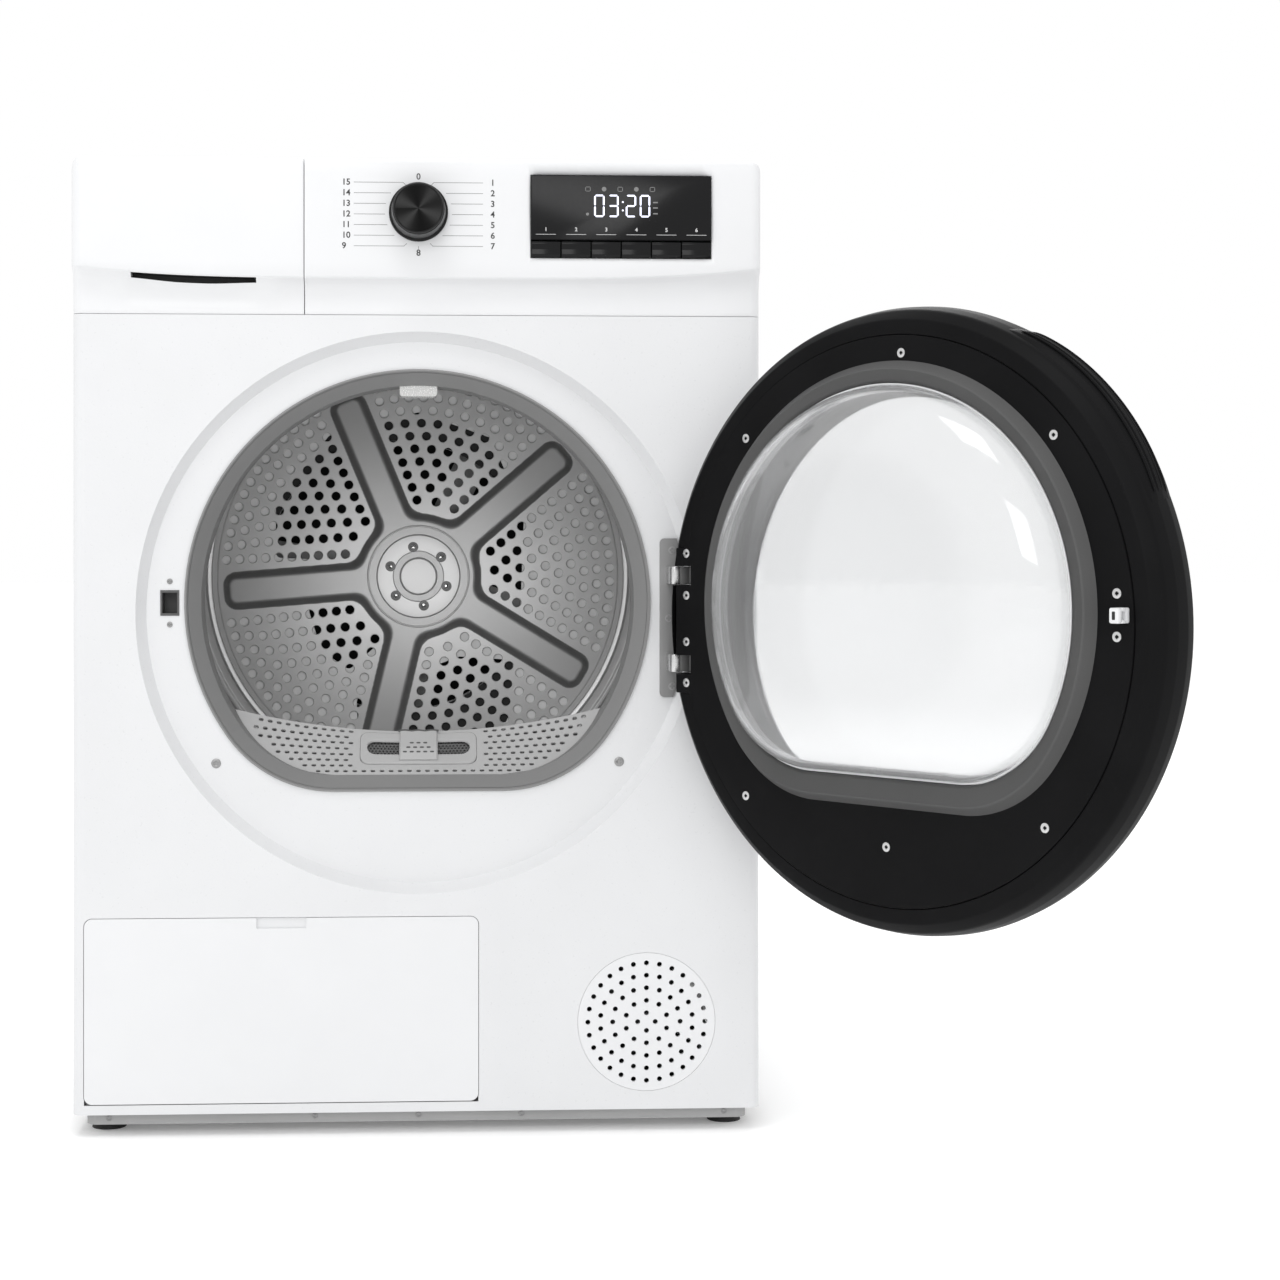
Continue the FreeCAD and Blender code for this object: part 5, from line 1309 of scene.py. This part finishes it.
# inner cover: a round plate with the D-shaped hole for the bowl
cover = Shape()
hole = d_outline(*BOWL, inset=-2.0)
hole = [(x, z + MOUTH_Z - DOOR_Z) for x, z in hole]
circle_points = [polar(1.0, math.atan2(z, x)) for x, z in hole]
loops = []
for share, sink in ((0.0, 3.0), (0.0, 0.6), (0.004, 0.15), (0.02, 0), (0.25, 0), (0.5, 0), (0.75, 0),
                    (0.97, 0), (0.995, 0.2), (1.0, 0.8), (1.0, 3.0)):
    loops.append([(hx + (COVER_RADIUS * cx - hx) * share, COVER_Y - sink,
                   DOOR_Z + hz + (COVER_RADIUS * cz - hz) * share)
                  for (hx, hz), (cx, cz) in zip(hole, circle_points)])
cover.skin(loops, tube=True)
cover_piece = cover.piece("door_cover_plate", "door", "black_plastic",
                          stands_for="door_inner_cover")
lobe = Shape()
lobe_section = rounded([(205.0, COVER_Y - 0.05, 0.8), (228.5, COVER_Y - 0.05, 2.0), (231.0, -301.0, 1.5),
                        (HINGE.x + 6.0, -312.5, 4.0), (HINGE.x + 10.0, HINGE.y, 6.0),
                        (HINGE.x + 2.0, HINGE.y - 9.4, 6.0), (205.0, HINGE.y - 9.0, 1.0)], 1, steps=6)
lobe_loops = []
for height, inset in ((LOBE_LOW, 1.2), (LOBE_LOW + 0.35, 0.35), (LOBE_LOW + 1.2, 0), (LOBE_HIGH - 1.2, 0),
                      (LOBE_HIGH - 0.35, 0.35), (LOBE_HIGH, 1.2)):
    lobe_loops.append([(220 + (x - 220) * (1 - inset / 18), -311 + (y + 311) * (1 - inset / 14), height)
                       for x, y in lobe_section])
lobe.skin(lobe_loops, cap_start=True, cap_end=True)
lobe_piece = lobe.piece("door_hinge_lobe", "door", "black_plastic")
pockets = arm_pocket_shapes()
carved(lobe_piece, pockets)
carved(cover_piece, pockets)
carved(ring, pockets)

# soft frame round the bowl
seal = Shape()
outer_side = rounded([(-3.0, COVER_Y), (-1.6, COVER_Y + 2.0), (2.6, COVER_Y + 8.0, 1.2),
                      (4.0, COVER_Y + 9.0, 1.0), (6.0, COVER_Y + 8.2)], 0.8, closed=False, steps=3)
inner_side = ((-4.5, COVER_Y + 7.6), (-2.6, COVER_Y + 7.0), (-1.7, COVER_Y + 6.0), (-1.6, COVER_Y))
loops = d_loops(MOUTH, outer_side) + d_loops(BOWL, inner_side)
seal.skin(loops, tube=True)
seal.piece("door_seal_frame", "door", "seal_rubber", stands_for="door_seal")

# clear bowl
BOWL_DEPTH = 52.0
BOWL_FULLNESS = 2.9                     # exponent of the bowl's rounded profile


def bowl_loops(wall):
    """Loops of the bowl's surface, from its flange to the middle of its bottom."""
    outline = d_outline(*BOWL, inset=wall)
    centre_z = MOUTH_Z + (BOWL[0] - BOWL[1]) / 2
    loops = []
    for k in range(33):
        a = math.radians(89.3 * k / 32)
        share = math.cos(a) ** (2 / BOWL_FULLNESS)
        y = COVER_Y - 3.0 + (BOWL_DEPTH - wall) * math.sin(a) ** (2 / BOWL_FULLNESS)
        loops.append([(x * share, y, centre_z + (MOUTH_Z + z - centre_z) * share) for x, z in outline])
    return loops


bowl = Shape()
outside, inside = bowl_loops(0.0), bowl_loops(3.5)
flange = d_loops(BOWL, ((-11.0, COVER_Y - 3.1), (-11.8, COVER_Y - 3.6), (-11.8, COVER_Y - 5.6),
                        (-11.0, COVER_Y - 6.0)))
bowl.skin(list(reversed(outside)) + flange + inside, cap_start=True, cap_end=True)
# painted highlight: a thin white band along the bowl's edge stands for the bright line of the glass edge
lip = Shape()
lip.skin(d_loops(BOWL, circle(0.9, 10, -0.4, COVER_Y + 5.6)), tube=True)
lip.piece("door_bowl_edge_highlight", "door", "white_plastic")
bowl_piece = bowl.piece("door_bowl_glass", "door", "door_glass", bowl_glass,
                        stands_for="door_bowl")
side = bowl_piece.data.attributes.new("side", "FLOAT", "POINT")
for value, (_, y, _) in zip(side.data, bowl.points):
    value.value = 1.0 - smooth(COVER_Y + 0.78 * BOWL_DEPTH, COVER_Y + 0.92 * BOWL_DEPTH, y)

# outer pane
pane_rim = WINDOW_RADIUS - 0.5
rise = 4.5
curve_radius = (pane_rim ** 2 + rise ** 2) / (2 * rise)
outer_curve, inner_curve = [], []
for k in range(25):
    r = 0.01 + (pane_rim - 0.01) * k / 24
    sag = curve_radius - math.sqrt(curve_radius ** 2 - r ** 2)
    outer_curve.append((r, -350.0 + sag))
    inner_curve.append((r, -346.0 + sag))
window_profile = outer_curve + [(pane_rim, -343.8), (pane_rim + 6, -343.6), (pane_rim + 6, -341.6),
                                (pane_rim - 2, -341.6)] + list(reversed(inner_curve))
Shape().lathe(window_profile, z=DOOR_Z, closed=False, steps=192).piece(
    "door_window_pane", "door", "door_glass", stands_for="door_window")

# striker and screws
striker = Shape()
outline = rounded_box(LATCH_X - 4, LATCH_X + 4, LATCH_Z - 5.6, LATCH_Z + 5.6, 1.4)
striker.slab(outline, -293.0, -289.0, edge=0.3)
for low, high in ((3.0, 5.6), (-5.6, -3.0)):
    striker.slab(rounded_box(LATCH_X - 4, LATCH_X + 4, LATCH_Z + low, LATCH_Z + high, 0.8),
                 -289.2, -284.0, edge=0.2)
striker.slab(outline, -284.2, -279.0, edge=1.2)
striker.piece("door_striker_hook", "door", "white_plastic",
              stands_for="door_striker")
# painted shade: a thin dark slab on the striker's face stands for its slot
slot_mark = Shape().slab(rounded_box(LATCH_X - 1.3, LATCH_X + 1.3, LATCH_Z - 3.0, LATCH_Z + 3.0, 0.6),
                         -279.3, -278.95, edge=0)
slot_mark.piece("door_striker_slot", "door", "black_plastic", painted_slot_shade)
door_heads, door_cups = Shape(), Shape()
spots = [polar(209.0, math.radians(a)) for a in (45, 94, 138, 225, 315)]
spots = [(x, DOOR_Z + z) for x, z in spots] + [(0.0, DOOR_Z - 176.0)]
spots += [(216.0, z) for z in (394.7, 429.5, 468.9, 504.5)]
spots += [(-209.0, LATCH_Z - 15.5), (-209.0, LATCH_Z + 15.5)]
for x, z in spots:
    screw(door_heads, x, -(COVER_Y - 0.1), z, 3.7, rise=0.45, recess=0.4)
    door_cups.lathe(rounded([(3.6, COVER_Y + 0.02), (4.6, COVER_Y + 0.25, 0.3), (5.6, COVER_Y + 0.02)], 0,
                            closed=False, steps=3), x=x, z=z, closed=False, steps=32)
door_heads.points = [(x, -y, z) for x, y, z in door_heads.points]
door_heads.piece("door_screw_heads", "door", "screw_steel",
                 stands_for="door_screws")
door_cups.piece("door_screw_cups", "door", "black_plastic")


# ------------------------------------------------------------------ rounded edges on CAD nodes
def soften(node, width, angle=40, segments=2):
    """Rounds the sharp edges of a CAD node's shown mesh."""
    bevel = frame["nodes"][node].modifiers.new("edge", "BEVEL")
    bevel.width = width * MM
    bevel.segments = segments
    bevel.limit_method = "ANGLE"
    bevel.angle_limit = math.radians(angle)
    bevel.harden_normals = False
    bevel.use_clamp_overlap = True


for node, width in (("worktop", 0.8), ("base_tray", 0.6), ("latch_socket", 0.4), ("drum_lamp", 0.8),
                    ("service_flap", 0.5), ("foot_front_left", 0.8), ("foot_front_right", 0.8),
                    ("foot_rear_left", 0.8), ("foot_rear_right", 0.8), ("drum_lifters", 1.5)):
    soften(node, width)


# ------------------------------------------------------------------ floor, light and camera
floor_mesh = bpy.data.meshes.new("floor")
reach = 30.0
floor_mesh.from_pydata([(-reach, -reach, 0), (reach, -reach, 0), (reach, reach, 0), (-reach, reach, 0)],
                       [], [(0, 1, 2, 3)])
floor_mesh.materials.append(finish("floor_white", (0.95, 0.95, 0.95), 0.8, vary=0.005, grain=0.02,
                                   bump=0.0, patch=1.0, Specular_IOR_Level=0.1,
                                   Emission_Color=(1, 1, 1, 1), Emission_Strength=0.12))
linked("floor", floor_mesh)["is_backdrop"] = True


def area_light(name, place, target, size, power):
    data = bpy.data.lights.new(name, "AREA")
    data.shape = "RECTANGLE"
    data.size, data.size_y = size
    data.energy = power
    lamp = linked(name, data)
    lamp.location = place
    lamp.rotation_euler = (Vector(target) - Vector(place)).to_track_quat("-Z", "Y").to_euler()


area_light("key_soft", (-0.75, -4.3, 2.25), (0, 0, 0.45), (1.9, 1.5), 30)
area_light("top_soft", (-0.4, -1.6, 3.6), (0, -0.2, 0.5), (1.6, 1.2), 26)
area_light("back_soft", (0.5, 3.2, 3.0), (0, 0, 0.5), (3.0, 2.0), 30)
area_light("drum_light", (0, -0.17, 0.46), (0, 0.3, 0.38), (0.24, 0.16), 0.28)
world = bpy.data.worlds.new("studio")
world.use_nodes = True
world.node_tree.nodes["Background"].inputs["Color"].default_value = (1, 1, 1, 1)
world.node_tree.nodes["Background"].inputs["Strength"].default_value = 1.0
bpy.context.scene.world = world
bpy.context.scene.view_settings.view_transform = "Standard"

camera_data = bpy.data.cameras.new("camera")
camera_data.lens = 64.74
camera_data.sensor_width = 36.0
camera_data.shift_x = 0.0851
camera_data.shift_y = -0.0727
camera = linked("camera", camera_data)
camera.location = (0, -2.3, 0.51)
camera.rotation_euler = (math.radians(90), 0, math.radians(-2.8))
bpy.context.scene.camera = camera

bpy.context.view_layer.update()
low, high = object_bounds()
